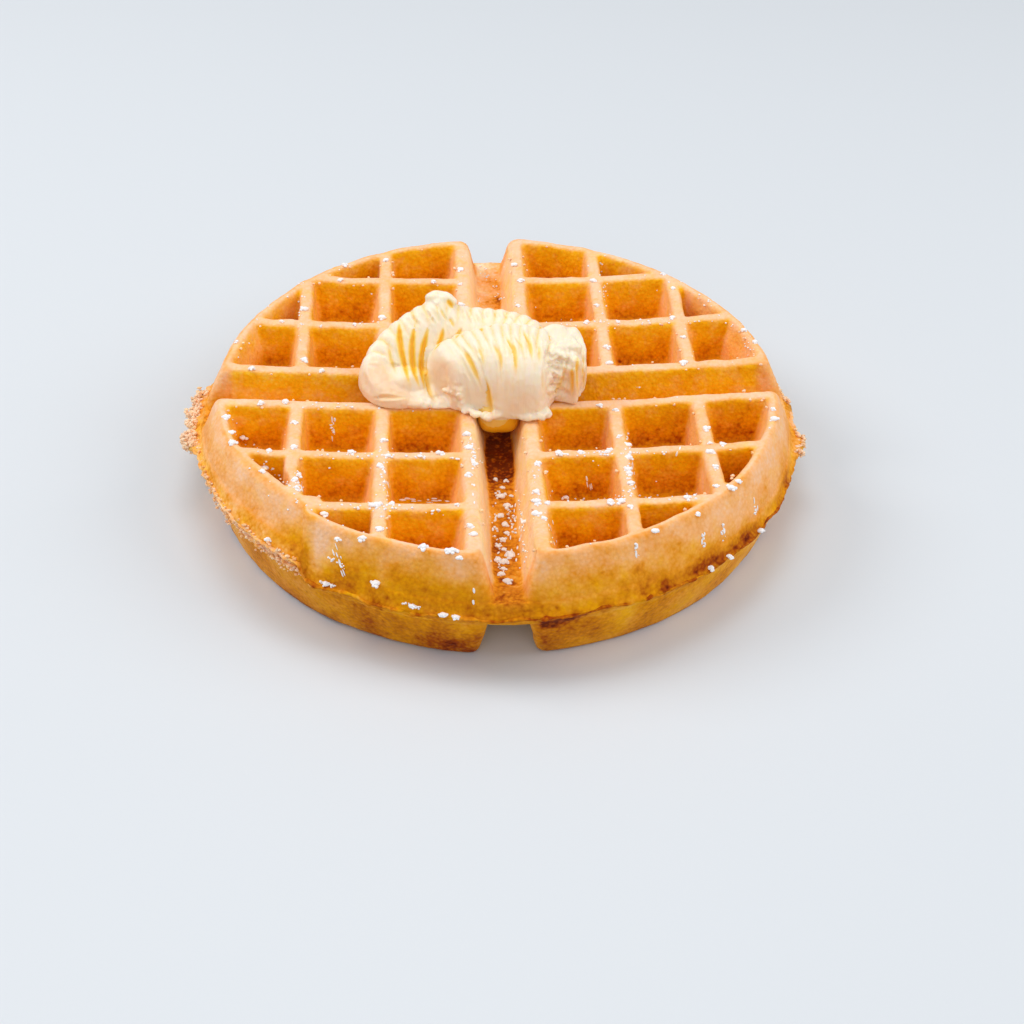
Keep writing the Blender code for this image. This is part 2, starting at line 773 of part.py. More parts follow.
def butter_pieces():
    """What is joined to the back curl."""
    group = bpy.data.collections.new("butter pieces")
    bpy.context.scene.collection.children.link(group)
    above = Vector((0.0, 0.0, BUTTER_BASE))
    pieces = {
        "front curl": curl(FRONT_CURL, FRONT_FLUTES, FRONT_FLUTE_DEPTH, FRONT_SMOOTH, FRONT_SLANT),
        "broken lump": flattened(blob(Vector(LUMP_AT) + above, LUMP_SIZE, 0.62, 0.28, 2.2), BUTTER_BASE),
        "tip": blob(Vector(TIP_AT) + above, TIP_SIZE, 1.0, 0.3, 1.5),
        "heel": flattened(blob(Vector(HEEL_AT) + above, HEEL_SIZE, 1.0, 0.1, 1.5), BUTTER_BASE),
        "sag": sag(),
        "flap": flattened(blob(Vector((*FLAP_AT, 0.8)) + above, FLAP_SIZE, 1.0, 0.1, 2.0), BUTTER_BASE),
    }
    for name, mesh in pieces.items():
        group.objects.link(finished_object(name, mesh, None))
    return group


def make_butter():
    cream = material("butter", (0.93, 0.80, 0.52), 0.45)
    butter = finished_object("butter", curl(BACK_CURL, BACK_FLUTES, BACK_FLUTE_DEPTH, BACK_SMOOTH, 0.0), cream)
    bpy.context.scene.collection.objects.link(butter)
    join_all(butter, butter_pieces(), "MANIFOLD")
    bend_object(butter)
    return butter


def centre_on_origin(items):
    """Moves the meshes so that the middle of the whole box stands on the origin."""
    corners = [vert.co for item in items for vert in item.data.vertices]
    middle = [0.5 * (min(c[axis] for c in corners) + max(c[axis] for c in corners)) for axis in range(2)]
    lowest = min(c[2] for c in corners)
    shift = Matrix.Translation((-middle[0], -middle[1], -lowest))
    for item in items:
        item.data.transform(shift)


def main():
    clear_scene()
    waffle = make_waffle()
    butter = make_butter()
    centre_on_origin([waffle, butter])


main()
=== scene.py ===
"""The looks of a round belgian waffle with a scoop of whipped butter and sugar on it.

The waffle and the butter are drawn again from the sizes that their solids have, with finer steps, and
take the solids' place. Sizes are in millimetres and turned into metres when a mesh is placed.
The front is -Y.
"""

import math
import random

import bmesh
import bpy
import numpy as np
from mathutils import Matrix, Vector, noise
from mathutils.bvhtree import BVHTree
from mathutils.geometry import delaunay_2d_cdt
from mathutils.kdtree import KDTree


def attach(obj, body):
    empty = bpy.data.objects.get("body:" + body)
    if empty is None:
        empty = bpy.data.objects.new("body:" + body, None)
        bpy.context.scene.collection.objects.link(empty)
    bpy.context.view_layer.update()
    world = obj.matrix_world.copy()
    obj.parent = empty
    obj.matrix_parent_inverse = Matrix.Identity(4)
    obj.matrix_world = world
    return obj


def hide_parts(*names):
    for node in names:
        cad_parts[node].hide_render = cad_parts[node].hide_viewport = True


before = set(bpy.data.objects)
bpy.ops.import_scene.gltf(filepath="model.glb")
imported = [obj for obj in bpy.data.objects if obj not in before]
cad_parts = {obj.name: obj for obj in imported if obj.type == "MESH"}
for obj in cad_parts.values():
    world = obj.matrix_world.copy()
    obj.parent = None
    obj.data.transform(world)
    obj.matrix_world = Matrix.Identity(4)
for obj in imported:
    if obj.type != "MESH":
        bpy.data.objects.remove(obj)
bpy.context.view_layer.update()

MM = 0.001
# Where the middle of the drawing lies in the frame
CENTRED = Vector((0.466, -0.104, 0.0))

# The iron: a grid of pockets on a pitch, parted by the channels that make the four quarters
PITCH = 24.6
RIB = 3.8
POCKET = PITCH - RIB
CHANNEL_HALF = 7.05
FIRST_POCKET = 11.1
ROWS = 3
POCKET_DEPTH = 12.8
POCKET_DRAFT = math.tan(math.radians(11.0))

# Heights of the flat drawing
TOP = 29.8
TOP_FLOOR = TOP - POCKET_DEPTH
BOTTOM_FLOOR = 12.6
PARTING = 14.3

# Radii of the rim
RIM_TOP = 82.4
RIM_LAND = 2.6
RIM_PARTING = 88.4
RIM_BOTTOM = 83.2
UPPER_SLOPE = (RIM_PARTING - RIM_TOP) / (TOP - PARTING)
LOWER_SLOPE = (RIM_PARTING - RIM_BOTTOM) / PARTING

# Channel floors and corners, and how far an edge is rounded across and down
TOP_CHANNEL_FLOOR = 3.0
BOTTOM_CHANNEL_FLOOR = 4.0
BOTTOM_CHANNEL_HALF = 7.8
EDGE_ACROSS = 1.2
EDGE_DOWN = 2.0
RIM_EDGE_ACROSS = 1.1
FILLET = 1.2
FILLET_RISE = 2.2
POCKET_CORNER = 1.6
SMALL_POCKET_SQUEEZE = 0.5
# Side walls nearer the middle lean more than those further out
INNER_WALL = 1.28
OUTER_WALL = 0.5
BLOCK_CORNER = 2.2

# How finely the outlines are drawn
TOP_STEP = 1.18
UNDER_STEP = 2.6
RIM_STEPS = 108
END_STEPS = 5
EDGE_ROWS = 5
FILLET_ROWS = 4
CORNER_STEPS = 4

# The sunk middle: how much the top rises with the square of the distance, per millimetre
BOWL_X = 0.00051
BOWL_Y = 0.00062

# The ragged parting line: a fin all round, and places where batter crept further out
FIN = 0.9
FIN_RAGGED = 0.7
FIN_GRAIN = 11.0
FIN_FINE = 0.7
FIN_FINE_GRAIN = 31.0
FIN_SHIFT = 3.0
FIN_WAVE = 0.5
FIN_WAVE_GRAIN = 9.0
FIN_WAVE_SHIFT = 7.0
FIN_LEAST = 0.25
# Direction and width in degrees, and how far out
CREEP = ((184.0, 9.0, 4.2), (172.0, 5.0, 2.2), (352.0, 7.0, 2.6), (7.0, 4.0, 2.0))
CREEP_EVEN = 0.8
CREEP_RAGGED = 0.5

# The front left rim: pushed in up to a crease that slants, with a wider land
CREASE_FOOT = -127.4
CREASE_TOP = -131.0
PUSHED_FROM = -160.0
PUSH_GROWS = 14.0
CREASE_WIDTH = 1.2
PUSH_LAND = 2.4
PUSH_WALL = 1.5
BULGE_PAST_CREASE = 0.6
BULGE_RISES = 1.5
BULGE_LENGTH = 24.0
BULGE_FADES = 20.0
PUSH_STARTS_AT = 72.0
PUSH_FADES = 6.0
PUSH_ABOVE_PARTING = 5.0
LAND_BLEND_FROM = 0.6

# There too, the parting line runs higher up the wall
LEDGE_LIFT = 4.0
LEDGE_FROM = -178.0
LEDGE_TO = -127.2
LEDGE_GROWS = 12.0
LEDGE_ENDS = 1.6
LEDGE_INSIDE = 0.5
LEDGE_BLEND = 2.0

# Waves of the baked surface
WAVE = 0.45
WAVE_GRAIN = 17.0
WAVE_FROM = 44.0
WAVE_GROWS = 12.0
ROUGH_ROUND = 0.5
ROUGH_ROUND_GRAIN = 3.0
ROUGH_ROUND_FROM = 70.0
ROUGH_ROUND_GROWS = 8.0
ROUGH_ROUND_UPRIGHT = 0.02

# Sugar
SUGAR_SEED = 11
SUGAR_ON_RIBS = 62
SUGAR_IN_FRONT_CHANNEL = 14
SUGAR_SPACING = 6.0
SUGAR_LARGEST = 1.25
SUGAR_SMALLEST = 0.7
SUGAR_SUNK = 0.25
SUGAR_FROM_EDGE = 1.0
CHANNEL_SUGAR_SPACING = 2.9
CHANNEL_SUGAR_HALF = 1.6
CHANNEL_SUGAR_FROM = -78.0
CHANNEL_SUGAR_TO = -28.0

# Butter: two fluted curls, a broken lump at their right end, a flap, and what sags into the front channel
BUTTER_GAP = 0.3
BUTTER_BASE = TOP + BUTTER_GAP
BUTTER_CLEAR = 3.0
BUTTER_MIDDLE = (-7.0, 2.0)
BUTTER_SPREAD = (36.0, 21.0)
LEFT_FULLNESS = 0.9
# Each station: x, y, height, reach to the curl's right-hand side, reach to its left-hand side, and the
# right-hand side's section, from 0.7 for a full one to 1.6 for a straight slope
BACK_CURL = ((-23.5, -8.4, 2.8, 3.0, 3.5, 0.9),
             (-32.5, -5.8, 5.5, 9.0, 5.0, 1.0),
             (-36.5, 0.5, 8.0, 14.5, 4.5, 1.1),
             (-35.0, 6.5, 11.0, 15.5, 4.5, 1.3),
             (-30.0, 11.0, 15.0, 15.0, 5.0, 1.3),
             (-23.0, 14.0, 19.0, 13.5, 5.0, 1.1),
             (-16.5, 15.5, 21.3, 12.0, 5.5, 0.9),
             (-10.0, 15.0, 18.5, 10.0, 6.5, 0.8),
             (2.0, 14.0, 17.5, 10.0, 6.5, 0.8),
             (10.0, 10.5, 16.5, 8.0, 6.5, 0.8),
             (15.0, 6.0, 13.0, 6.0, 5.0, 0.8))
BACK_FLUTES = 22
BACK_FLUTE_DEPTH = 0.55
BACK_SMOOTH = 4.6
FRONT_CURL = ((-20.3, -3.0, 8.0, 8.0, 5.0, 0.8),
              (-17.8, -1.5, 13.8, 11.0, 7.0, 0.8),
              (-11.5, 0.5, 17.2, 13.5, 8.0, 0.75),
              (-2.0, 2.5, 19.5, 18.0, 8.0, 0.75),
              (6.0, 2.5, 19.8, 19.5, 8.0, 0.7),
              (13.0, 1.5, 18.5, 18.5, 8.0, 0.7),
              (17.5, 1.0, 15.0, 14.0, 7.0, 0.8))
FRONT_FLUTES = 14
FRONT_FLUTE_DEPTH = 0.75
FRONT_SMOOTH = 1.6
FRONT_SLANT = -1.4
# How curls close at their ends, in flutes, and how slim their tips are
CURL_END = 1.5
CURL_TIP = 0.1
FLUTES_FADE = 1.5
# How far behind the crest, as a share of the curl's half width, its back begins
BEHIND = 0.6
# Lumps that are cut off flat underneath: middle over the ribs, size, how boxy (1 is round), how rough, how
# fine that roughness is, and how finely drawn
BUTTER_LUMPS = (((17.6, 1.0, 5.0), (7.8, 10.0, 11.4), 0.62, 0.28, 2.2, 5),
                ((-16.6, 16.0, 19.4), (4.6, 3.2, 3.5), 1.0, 0.3, 1.5, 4),
                ((-23.0, -4.0, 0.5), (8.5, 5.5, 3.4), 1.0, 0.1, 1.5, 5),
                ((-26.5, -1.2, 2.6), (8.0, 5.6, 4.6), 1.0, 0.1, 1.5, 5),
                ((-23.5, -9.3, 0.8), (5.5, 2.2, 1.8), 1.0, 0.1, 2.0, 4),
                ((-17.5, -8.6, 0.6), (5.0, 2.8, 1.5), 1.0, 0.15, 1.5, 4))
# What sags into the front channel, and the share of its height that stays over the ribs
SAG_AT = (0.0, -4.0, 0.0)
SAG_SIZE = (6.7, 11.3, 8.4)
SAG_BOXINESS = 0.55
SAG_TOP = 0.35
SAG_YELLOW = 1.3

# How finely the butter is drawn
FLUTE_POINTS = 14
CURL_RINGS = 64
BUTTER_VOXEL = 0.33

# What the flutes lose on the side that the knife has smoothed
SMOOTHED = 0.75

# The knife's grooves as the photograph shows them: pixels along each, its depth, half width and yellowness
KNIFE_LINES = (
    (((380, 346), (385, 366), (391, 380)), 0.5, 0.8, 0.1),
    (((388, 341), (391, 359), (398, 377)), 0.8, 0.6, 0.5),
    (((399, 318), (401, 349), (412, 393)), 0.9, 0.6, 1.45),
    (((416, 317), (412, 346), (414, 370), (423, 396)), 1.0, 0.65, 1.45),
    (((431, 317), (423, 350), (422, 372), (427, 398)), 1.0, 0.65, 1.45),
    (((444, 325), (440, 342), (431, 352)), 1.0, 0.6, 1.0),
    (((463, 326), (453, 342)), 0.9, 0.6, 0.56),
    (((404, 316), (415, 329)), 0.7, 0.7, 0.1),
    (((419, 311), (430, 329)), 0.7, 0.7, 0.1),
    (((431, 307), (443, 326)), 0.7, 0.7, 0.2),
    (((448, 315), (456, 330)), 0.7, 0.6, 0.5),
    (((446, 298), (455, 310)), 0.8, 0.6, 1.0),
    (((461, 306), (463, 316), (470, 326)), 0.7, 0.6, 0.19),
    (((470, 307), (478, 328)), 0.7, 0.6, 0.31),
    (((480, 308), (484, 319)), 0.6, 0.6, 0.25),
    (((489, 308), (491, 320)), 0.5, 0.6, 0.12),
    (((498, 310), (502, 319)), 0.5, 0.6, 0.12),
    (((386, 386), (397, 393), (409, 395)), 0.6, 0.9, 0.1),
    (((427, 350), (426, 372), (430, 392), (440, 407)), 1.5, 0.8, 0.7),
    (((441, 360), (448, 382)), 0.7, 3.0, 0.0),
    (((452, 344), (459, 356), (463, 368)), 0.6, 0.7, 0.12),
    (((461, 346), (472, 365), (484, 395)), 1.2, 0.65, 0.68),
    (((484, 374), (489, 398), (493, 418)), 1.3, 0.75, 0.74),
    (((478, 342), (482, 356), (485, 373)), 0.8, 0.6, 0.37),
    (((491, 338), (500, 357), (500, 378)), 1.0, 0.6, 0.5),
    (((503, 332), (514, 352), (516, 381)), 1.2, 0.7, 0.68),
    (((521, 325), (530, 346), (533, 365)), 1.1, 0.6, 0.56),
    (((538, 340), (540, 368)), 0.8, 0.6, 0.43),
    (((543, 368), (543, 396)), 0.8, 0.6, 0.25),
    (((546, 397), (556, 389), (563, 376), (570, 352)), 1.2, 0.8, 0.43),
    (((572, 362), (572, 401)), 0.8, 0.5, 0.8),
    (((577, 350), (578, 401)), 0.8, 0.5, 0.7),
    (((583, 346), (584, 400)), 0.7, 0.5, 0.6),
    (((502, 336), (510, 351), (512, 363)), 0.6, 0.5, 0.25),
    (((512, 332), (522, 348), (525, 367)), 0.7, 0.5, 0.37),
    (((472, 346), (479, 358)), 0.5, 0.5, 0.19),
    (((530, 330), (536, 342), (537, 352)), 0.5, 0.5, 0.25),
    (((378, 353), (386, 371), (398, 381)), 0.5, 0.6, 0.15),
    (((363, 365), (384, 369), (398, 390)), 0.5, 0.7, 0.0),
    (((410, 313), (421, 328)), 1.0, 0.5, 0.3),
    (((425, 309), (437, 327)), 1.0, 0.5, 0.3),
    (((438, 305), (450, 325)), 1.0, 0.5, 0.4),
    (((474, 309), (482, 327)), 1.0, 0.45, 0.31),
    (((466, 308), (473, 327)), 1.0, 0.45, 0.31),
    (((485, 309), (489, 320)), 0.9, 0.45, 0.25),
    (((493, 309), (497, 320)), 0.9, 0.45, 0.19),
    (((503, 312), (508, 320)), 0.9, 0.45, 0.19),
    (((510, 314), (516, 323)), 0.9, 0.45, 0.19),
    (((518, 317), (524, 325)), 0.9, 0.45, 0.19),
    (((370, 398), (392, 397), (408, 397)), 1.2, 0.6, 0.3),
    (((362, 372), (366, 384), (378, 398)), 0.6, 1.2, 0.0),
    (((470, 342), (480, 362), (487, 390)), 0.8, 0.5, 0.19),
    (((455, 345), (466, 368), (478, 395)), 0.7, 0.5, 0.19))
KNIFE_STEPS = 36
KNIFE_DEPTH = 0.5
KNIFE_WIDTH = 0.9
KNIFE_STAIN = 1.05
KNIFE_RIM = 0.4
KNIFE_SHOULDER = 1.7
KNIFE_SHOULDER_SHARE = 0.28
# How many shoulders away from its line a knife mark ends
KNIFE_REACH = 3.0
# What a knife mark leaves of the yellow of the flutes
YELLOW_LEFT = 0.45

# Where the butter is torn: a pixel, how far around it in millimetres, and how rough
TORN = (((552, 388), 5.0, 1.3), ((556, 366), 4.0, 0.9), ((560, 348), 7.5, 0.8), ((455, 392), 2.6, 0.7),
        ((490, 414), 3.5, 0.5), ((541, 414), 4.0, 0.5), ((438, 297), 3.0, 0.35), ((425, 405), 3.0, 0.35))

# Where painted shade makes the butter warmer in tone: a pixel, how far around it in millimetres, and how much
PAINTED_SHADE_PLACES = (((443, 378), 6.5, 0.9), ((371, 385), 8.0, 0.9), ((395, 399), 7.0, 0.8), ((372, 370), 4.0, 0.6),
        ((575, 385), 5.0, 0.6), ((505, 400), 9.0, 0.35))

# Small peaks along the tears and the ragged lip at the front, on the flat drawing: x, y, height, size
PEAKS = ((-15.5, -10.6, 6.2, 1.0), (-13.2, -11.2, 5.6, 0.9), (-11.4, -11.6, 4.8, 1.1),
         (-10.8, -12.0, 3.0, 0.9), (-10.4, -12.0, 1.6, 1.0), (13.6, -8.4, 6.2, 1.2),
         (15.4, -7.6, 5.0, 1.1), (14.4, -9.2, 3.2, 1.2), (13.8, -9.6, 1.4, 1.1))
LIP = ((-11.0, -12.0), (-8.2, -13.2), (-6.6, -15.4), (-3.9, -16.6), (-1.6, -15.8), (0.4, -14.6), (3.6, -15.3),
       (7.6, -16.8), (11.2, -16.9), (13.6, -15.8), (13.6, -12.6))
LIP_SIZE = 1.15
LIP_SPACING = 0.8
LIP_SEED = 5

# The photograph's camera, worked out from the crossings of the ribs and the circles of the rim
PHOTO_SIZE = 1024
FOCAL_PIXELS = 1699.617
SENSOR = 36.0
ELEVATION = math.radians(38.46227)
AZIMUTH = math.radians(-3.24945)
ROLL = math.radians(1.09811)
DISTANCE = 458.12
LOOKS_AT = Vector((1.7227, -59.0098, 29.8)) + CENTRED


def clamp(value, low=0.0, high=1.0):
    return max(low, min(high, value))


def ease(value):
    t = clamp(value)
    return t * t * (3.0 - 2.0 * t)


def bell(away, width):
    """One at the middle, and next to nothing at twice the width away from it."""
    return math.exp(-(away / width) ** 2)


def wrap(degrees):
    return (degrees + 180.0) % 360.0 - 180.0


def direction_at(angle, z=0.0):
    """A step outwards in the direction of an angle."""
    return Vector((math.cos(angle), math.sin(angle), z))


def polar(reach, angle, z):
    return Vector((reach * math.cos(angle), reach * math.sin(angle), z))


def spot_tree(spots):
    """A tree that finds the nearest of some spots."""
    tree = KDTree(len(spots))
    for index, spot in enumerate(spots):
        tree.insert(spot, index)
    tree.balance()
    return tree


def bridge(mesh, first, second):
    """Faces between two rings that have as many points."""
    for index, vert in enumerate(first):
        following = (index + 1) % len(first)
        mesh.faces.new((vert, first[following], second[following], second[index]))


def camera_axes():
    """The camera's right, up and backward directions."""
    back = Vector((math.sin(AZIMUTH) * math.cos(ELEVATION), -math.cos(AZIMUTH) * math.cos(ELEVATION),
                   math.sin(ELEVATION)))
    level = Vector((math.cos(AZIMUTH), math.sin(AZIMUTH), 0.0))
    upright = back.cross(level)
    right = level * math.cos(ROLL) + upright * math.sin(ROLL)
    up = upright * math.cos(ROLL) - level * math.sin(ROLL)
    return right, up, back


def pixel_ray(pixel):
    """Where the camera stands, and the direction in which it sees a pixel of the photograph."""
    right, up, back = camera_axes()
    middle = 0.5 * PHOTO_SIZE
    across = (pixel[0] - middle) / FOCAL_PIXELS
    above = (middle - pixel[1]) / FOCAL_PIXELS
    return LOOKS_AT + back * DISTANCE, (right * across + up * above - back).normalized()


def seen_at(tree, pixel):
    """The spot and the normal of a surface at a pixel of the photograph, or None beside it."""
    start, direction = pixel_ray(pixel)
    spot, normal, _, _ = tree.ray_cast(start, direction)
    return None if spot is None else (spot, normal)


def seen_places(tree, places):
    """The spots of a surface that are seen at some places, each a pixel, a reach and an amount."""
    found = [(seen_at(tree, pixel), reach, amount) for pixel, reach, amount in places]
    return [(seen[0], reach, amount) for seen, reach, amount in found if seen is not None]


class Cap:
    """One face of the waffle: which way it looks, where its levels lie and how finely it is drawn."""

    def __init__(self, surface, inward, floor, slope, rim, channel_half, channel_floor, step):
        self.surface = surface
        self.inward = inward
        self.floor = floor
        self.slope = slope
        self.rim = rim
        self.channel_half = channel_half
        self.channel_floor = channel_floor
        self.step = step
        self.depth = abs(surface - floor)

    def height(self, depth):
        return self.surface + self.inward * depth


UPPER = Cap(TOP, -1, TOP_FLOOR, UPPER_SLOPE, RIM_TOP,
            CHANNEL_HALF, TOP_CHANNEL_FLOOR, TOP_STEP)
LOWER = Cap(0.0, 1, BOTTOM_FLOOR, LOWER_SLOPE, RIM_BOTTOM,
            BOTTOM_CHANNEL_HALF, BOTTOM_CHANNEL_FLOOR, UNDER_STEP)


# Outlines, all in the quarter where x and y are positive

def line_meets_circle(along, radius):
    return math.sqrt(max(radius * radius - along * along, 0.0))


def corner_between(first, second, limits):
    """Where two sides of an outline meet. Sides run anticlockwise."""
    x_low, x_high, y_low, y_high, radius = limits
    levels = {"left": (x_low, None), "right": (x_high, None), "bottom": (None, y_low), "top": (None, y_high),
              "arc": (None, None)}
    x, y = [own if own is not None else other for own, other in zip(levels[first], levels[second])]
    if x is None:
        x = line_meets_circle(y, radius)
    if y is None:
        y = line_meets_circle(x, radius)
    return x, y


NORMAL_ANGLE = {"left": math.pi, "bottom": 1.5 * math.pi, "right": 0.0, "top": 0.5 * math.pi}


def normal_angle(side, point):
    if side == "arc":
        return math.atan2(point[1], point[0])
    return NORMAL_ANGLE[side]


def outline(sides, limits, corner, corner_steps, side_steps):
    """Points round a convex shape bounded by straight sides and an arc about the origin.

    Each corner is rounded; side_steps gives how many pieces each side is drawn in.
    """
    x_low, x_high, y_low, y_high, radius = limits
    inner = (x_low + corner, x_high - corner, y_low + corner, y_high - corner, radius - corner)
    rounded = []
    for index, side in enumerate(sides):
        following = sides[(index + 1) % len(sides)]
        centre = corner_between(side, following, inner)
        start = normal_angle(side, centre)
        turn = (normal_angle(following, centre) - start) % (2.0 * math.pi)
        angles = [start + turn * step / corner_steps for step in range(corner_steps + 1)]
        rounded.append([(centre[0] + corner * math.cos(a), centre[1] + corner * math.sin(a)) for a in angles])
    points = []
    for index, fan in enumerate(rounded):
        points.extend(fan)
        following = sides[(index + 1) % len(sides)]
        steps = side_steps.get(following, 1)
        points.extend(between(following, fan[-1], rounded[(index + 1) % len(rounded)][0], steps, radius))
    return points


def between(side, begin, finish, steps, radius):
    """The points inside one side, without its ends."""
    middle = []
    for step in range(1, steps):
        t = step / steps
        if side == "arc":
            start = math.atan2(begin[1], begin[0])
            angle = start + (math.atan2(finish[1], finish[0]) - start) * t
            middle.append((radius * math.cos(angle), radius * math.sin(angle)))
        else:
            middle.append((begin[0] + (finish[0] - begin[0]) * t, begin[1] + (finish[1] - begin[1]) * t))
    return middle


def pocket_start(index):
    return FIRST_POCKET + index * PITCH


# How far past the rim a pocket's corner may reach and still be drawn as a whole square
CORNER_PAST_RIM = 1.0
LEAST_STEPS = 4


def pocket_sides(column, row, radius):
    """The sides of a pocket, or None where the rim leaves no room for one."""
    x_low = pocket_start(column)
    y_low = pocket_start(row)
    x_high = x_low + POCKET
    y_high = y_low + POCKET
    if math.hypot(x_low, y_low) > radius:
        return None
    if math.hypot(x_high, y_high) < radius + CORNER_PAST_RIM:
        return ("left", "bottom", "right", "top")
    if math.hypot(x_low, y_high) < radius:
        return ("left", "bottom", "arc", "top")
    if math.hypot(x_high, y_low) < radius:
        return ("left", "bottom", "right", "arc")
    return ("left", "bottom", "arc")


def bow(start, bend_at, finish, t):
    """A point on a curve that leaves start towards bend_at and comes to finish from it."""
    one = 1.0 - t
    return [one * one * a + 2.0 * one * t * b + t * t * c for a, b, c in zip(start, bend_at, finish)]


def wall_rows(first, last, step):
    """Depths down a wall, an even step apart, without its ends."""
    count = max(1, round((last - first) / step))
    return [first + (last - first) * i / count for i in range(1, count)]


def pocket_profile(cap, squeeze):
    """How far the wall stands in from the mouth at each depth, from the land to the floor."""
    lean = POCKET_DRAFT
    rows = [bow((-EDGE_ACROSS, 0.0), (0.0, 0.0), (lean * EDGE_DOWN, EDGE_DOWN), i / EDGE_ROWS)
            for i in range(EDGE_ROWS + 1)]
    wall_end = cap.depth - FILLET_RISE
    rows += [(lean * d, d) for d in wall_rows(EDGE_DOWN, wall_end, cap.step)]
    corner = (lean * cap.depth, cap.depth)
    finish = (lean * cap.depth + FILLET, cap.depth)
    rows += [bow((lean * wall_end, wall_end), corner, finish, i / FILLET_ROWS)
             for i in range(FILLET_ROWS + 1)]
    return [(inset * (squeeze if inset > 0.0 else 1.0), depth) for inset, depth in rows]


def pocket_loops(cap, column, row):
    """The rings of one pocket as (points, depth), or None."""
    rim = cap.rim - RIM_LAND
    sides = pocket_sides(column, row, rim)
    if sides is None:
        return None
    x_low = pocket_start(column)
    y_low = pocket_start(row)
    squeeze = SMALL_POCKET_SQUEEZE if len(sides) == 3 else 1.0
    corner = POCKET_CORNER * squeeze
    steps = {side: max(LEAST_STEPS, round(POCKET / cap.step)) for side in sides}
    loops = []
    for inset, depth in pocket_profile(cap, squeeze):
        inner = inset * INNER_WALL if inset > 0.0 else inset
        outer = inset * OUTER_WALL if inset > 0.0 else inset
        limits = (x_low + inner, x_low + POCKET - outer, y_low + inset, y_low + POCKET - inset, rim - inset)
        loops.append((outline(sides, limits, corner, CORNER_STEPS, steps), depth))
    return loops


def block_steps(cap):
    """How many pieces the sides of a quarter's outline are drawn in: along a channel, and round the rim."""
    return round((cap.rim - cap.channel_half) / cap.step), RIM_STEPS


def block_profile(cap):
    """Channel half width, rim radius and depth of a quarter's outside, from the land to the floor."""
    lean = (cap.channel_half - cap.channel_floor - FILLET) / cap.depth
    start = (cap.channel_half + EDGE_ACROSS, cap.rim - RIM_EDGE_ACROSS, 0.0)
    bend_at = (cap.channel_half, cap.rim, 0.0)
    finish = (cap.channel_half - lean * EDGE_DOWN, cap.rim + cap.slope * EDGE_DOWN, EDGE_DOWN)
    rows = [bow(start, bend_at, finish, i / EDGE_ROWS) for i in range(EDGE_ROWS + 1)]
    wall_end = cap.depth - FILLET_RISE
    for depth in wall_rows(EDGE_DOWN, wall_end, cap.step):
        rows.append((cap.channel_half - lean * depth, cap.rim + cap.slope * depth, depth))
    for i in range(FILLET_ROWS + 1):
        half, depth = bow((cap.channel_half - lean * wall_end, wall_end),
                          (cap.channel_floor + FILLET, cap.depth),
                          (cap.channel_floor, cap.depth), i / FILLET_ROWS)
        even_depth = wall_end + FILLET_RISE * i / FILLET_ROWS
        rows.append((half, cap.rim + cap.slope * even_depth, depth))
    return rows


def block_loops(cap):
    """The rings of one quarter's outside as (points, depth)."""
    along, around = block_steps(cap)
    loops = []
    for half, radius, depth in block_profile(cap):
        limits = (half, radius, half, radius, radius)
        steps = {"bottom": along, "left": along, "arc": around}
        loops.append((outline(("left", "bottom", "arc"), limits, BLOCK_CORNER, CORNER_STEPS, steps), depth))
    return loops


def mirrored(points, x_sign, y_sign):
    """A quarter's points in another quarter, still anticlockwise."""
    moved = [(x * x_sign, y * y_sign) for x, y in points]
    return moved if x_sign * y_sign > 0 else moved[::-1]


QUARTERS = ((1, 1), (-1, 1), (-1, -1), (1, -1))

# What a point of the crust belongs to
LAND, POCKET_WALL, CHANNEL, OUTSIDE, FIN_EDGE = range(5)


class Shell:
    """The waffle's mesh while it is put together. Each point keeps its zone, its depth and its face."""

    def __init__(self):
        self.mesh = bmesh.new()
        self.zone = self.mesh.verts.layers.int.new("zone")
        self.deep = self.mesh.verts.layers.float.new("deep")
        self.under = self.mesh.verts.layers.float.new("under")

    def point(self, x, y, z, zone, deep, under):
        vert = self.mesh.verts.new((x, y, z))
        vert[self.zone] = zone
        vert[self.deep] = deep
        vert[self.under] = under
        return vert

    def loop(self, points, cap, depth, zone):
        under = 1.0 if cap is LOWER else 0.0
        return [self.point(x, y, cap.height(depth), zone, depth / cap.depth, under) for x, y in points]

    def fill(self, outer, holes, cap, depth, zone):
        """Fills a flat region with triangles, with points of their own on a grid inside it."""
        rings = [[(v.co.x, v.co.y) for v in ring] for ring in [outer] + holes]
        verts = [vert for ring in [outer] + holes for vert in ring]
        edges = []
        base = 0
        for ring in rings:
            edges += [(base + i, base + (i + 1) % len(ring)) for i in range(len(ring))]
            base += len(ring)
        spots = grid_inside(rings, cap.step)
        verts += self.loop(spots, cap, depth, zone)
        flat = [Vector((v.co.x, v.co.y)) for v in verts]
        _, _, faces, sources, _, _ = delaunay_2d_cdt(flat, edges, [], 1, 1e-6)
        corners = [[sources[i][0] for i in face] for face in faces]
        places = np.array([v.co[:2] for v in verts])
        middles = places[np.array(corners)].mean(axis=1)
        kept = in_region(middles, rings)
        for face, keep in zip(corners, kept):
            if keep:
                self.mesh.faces.new([verts[i] for i in face])


def in_ring(points, ring):
    """Which of some points lie in a closed ring of points."""
    odd = np.zeros(len(points), dtype=bool)
    before_x, before_y = ring[-1]
    for at_x, at_y in ring:
        if at_y != before_y:
            crossed = (at_y > points[:, 1]) != (before_y > points[:, 1])
            line = at_x + (points[:, 1] - at_y) / (before_y - at_y) * (before_x - at_x)
            odd ^= crossed & (points[:, 0] < line)
        before_x, before_y = at_x, at_y
    return odd


def in_region(points, rings):
    """Which of some points lie in the first ring and in none of the others."""
    kept = in_ring(points, rings[0])
    for ring in rings[1:]:
        kept &= ~in_ring(points, ring)
    return kept


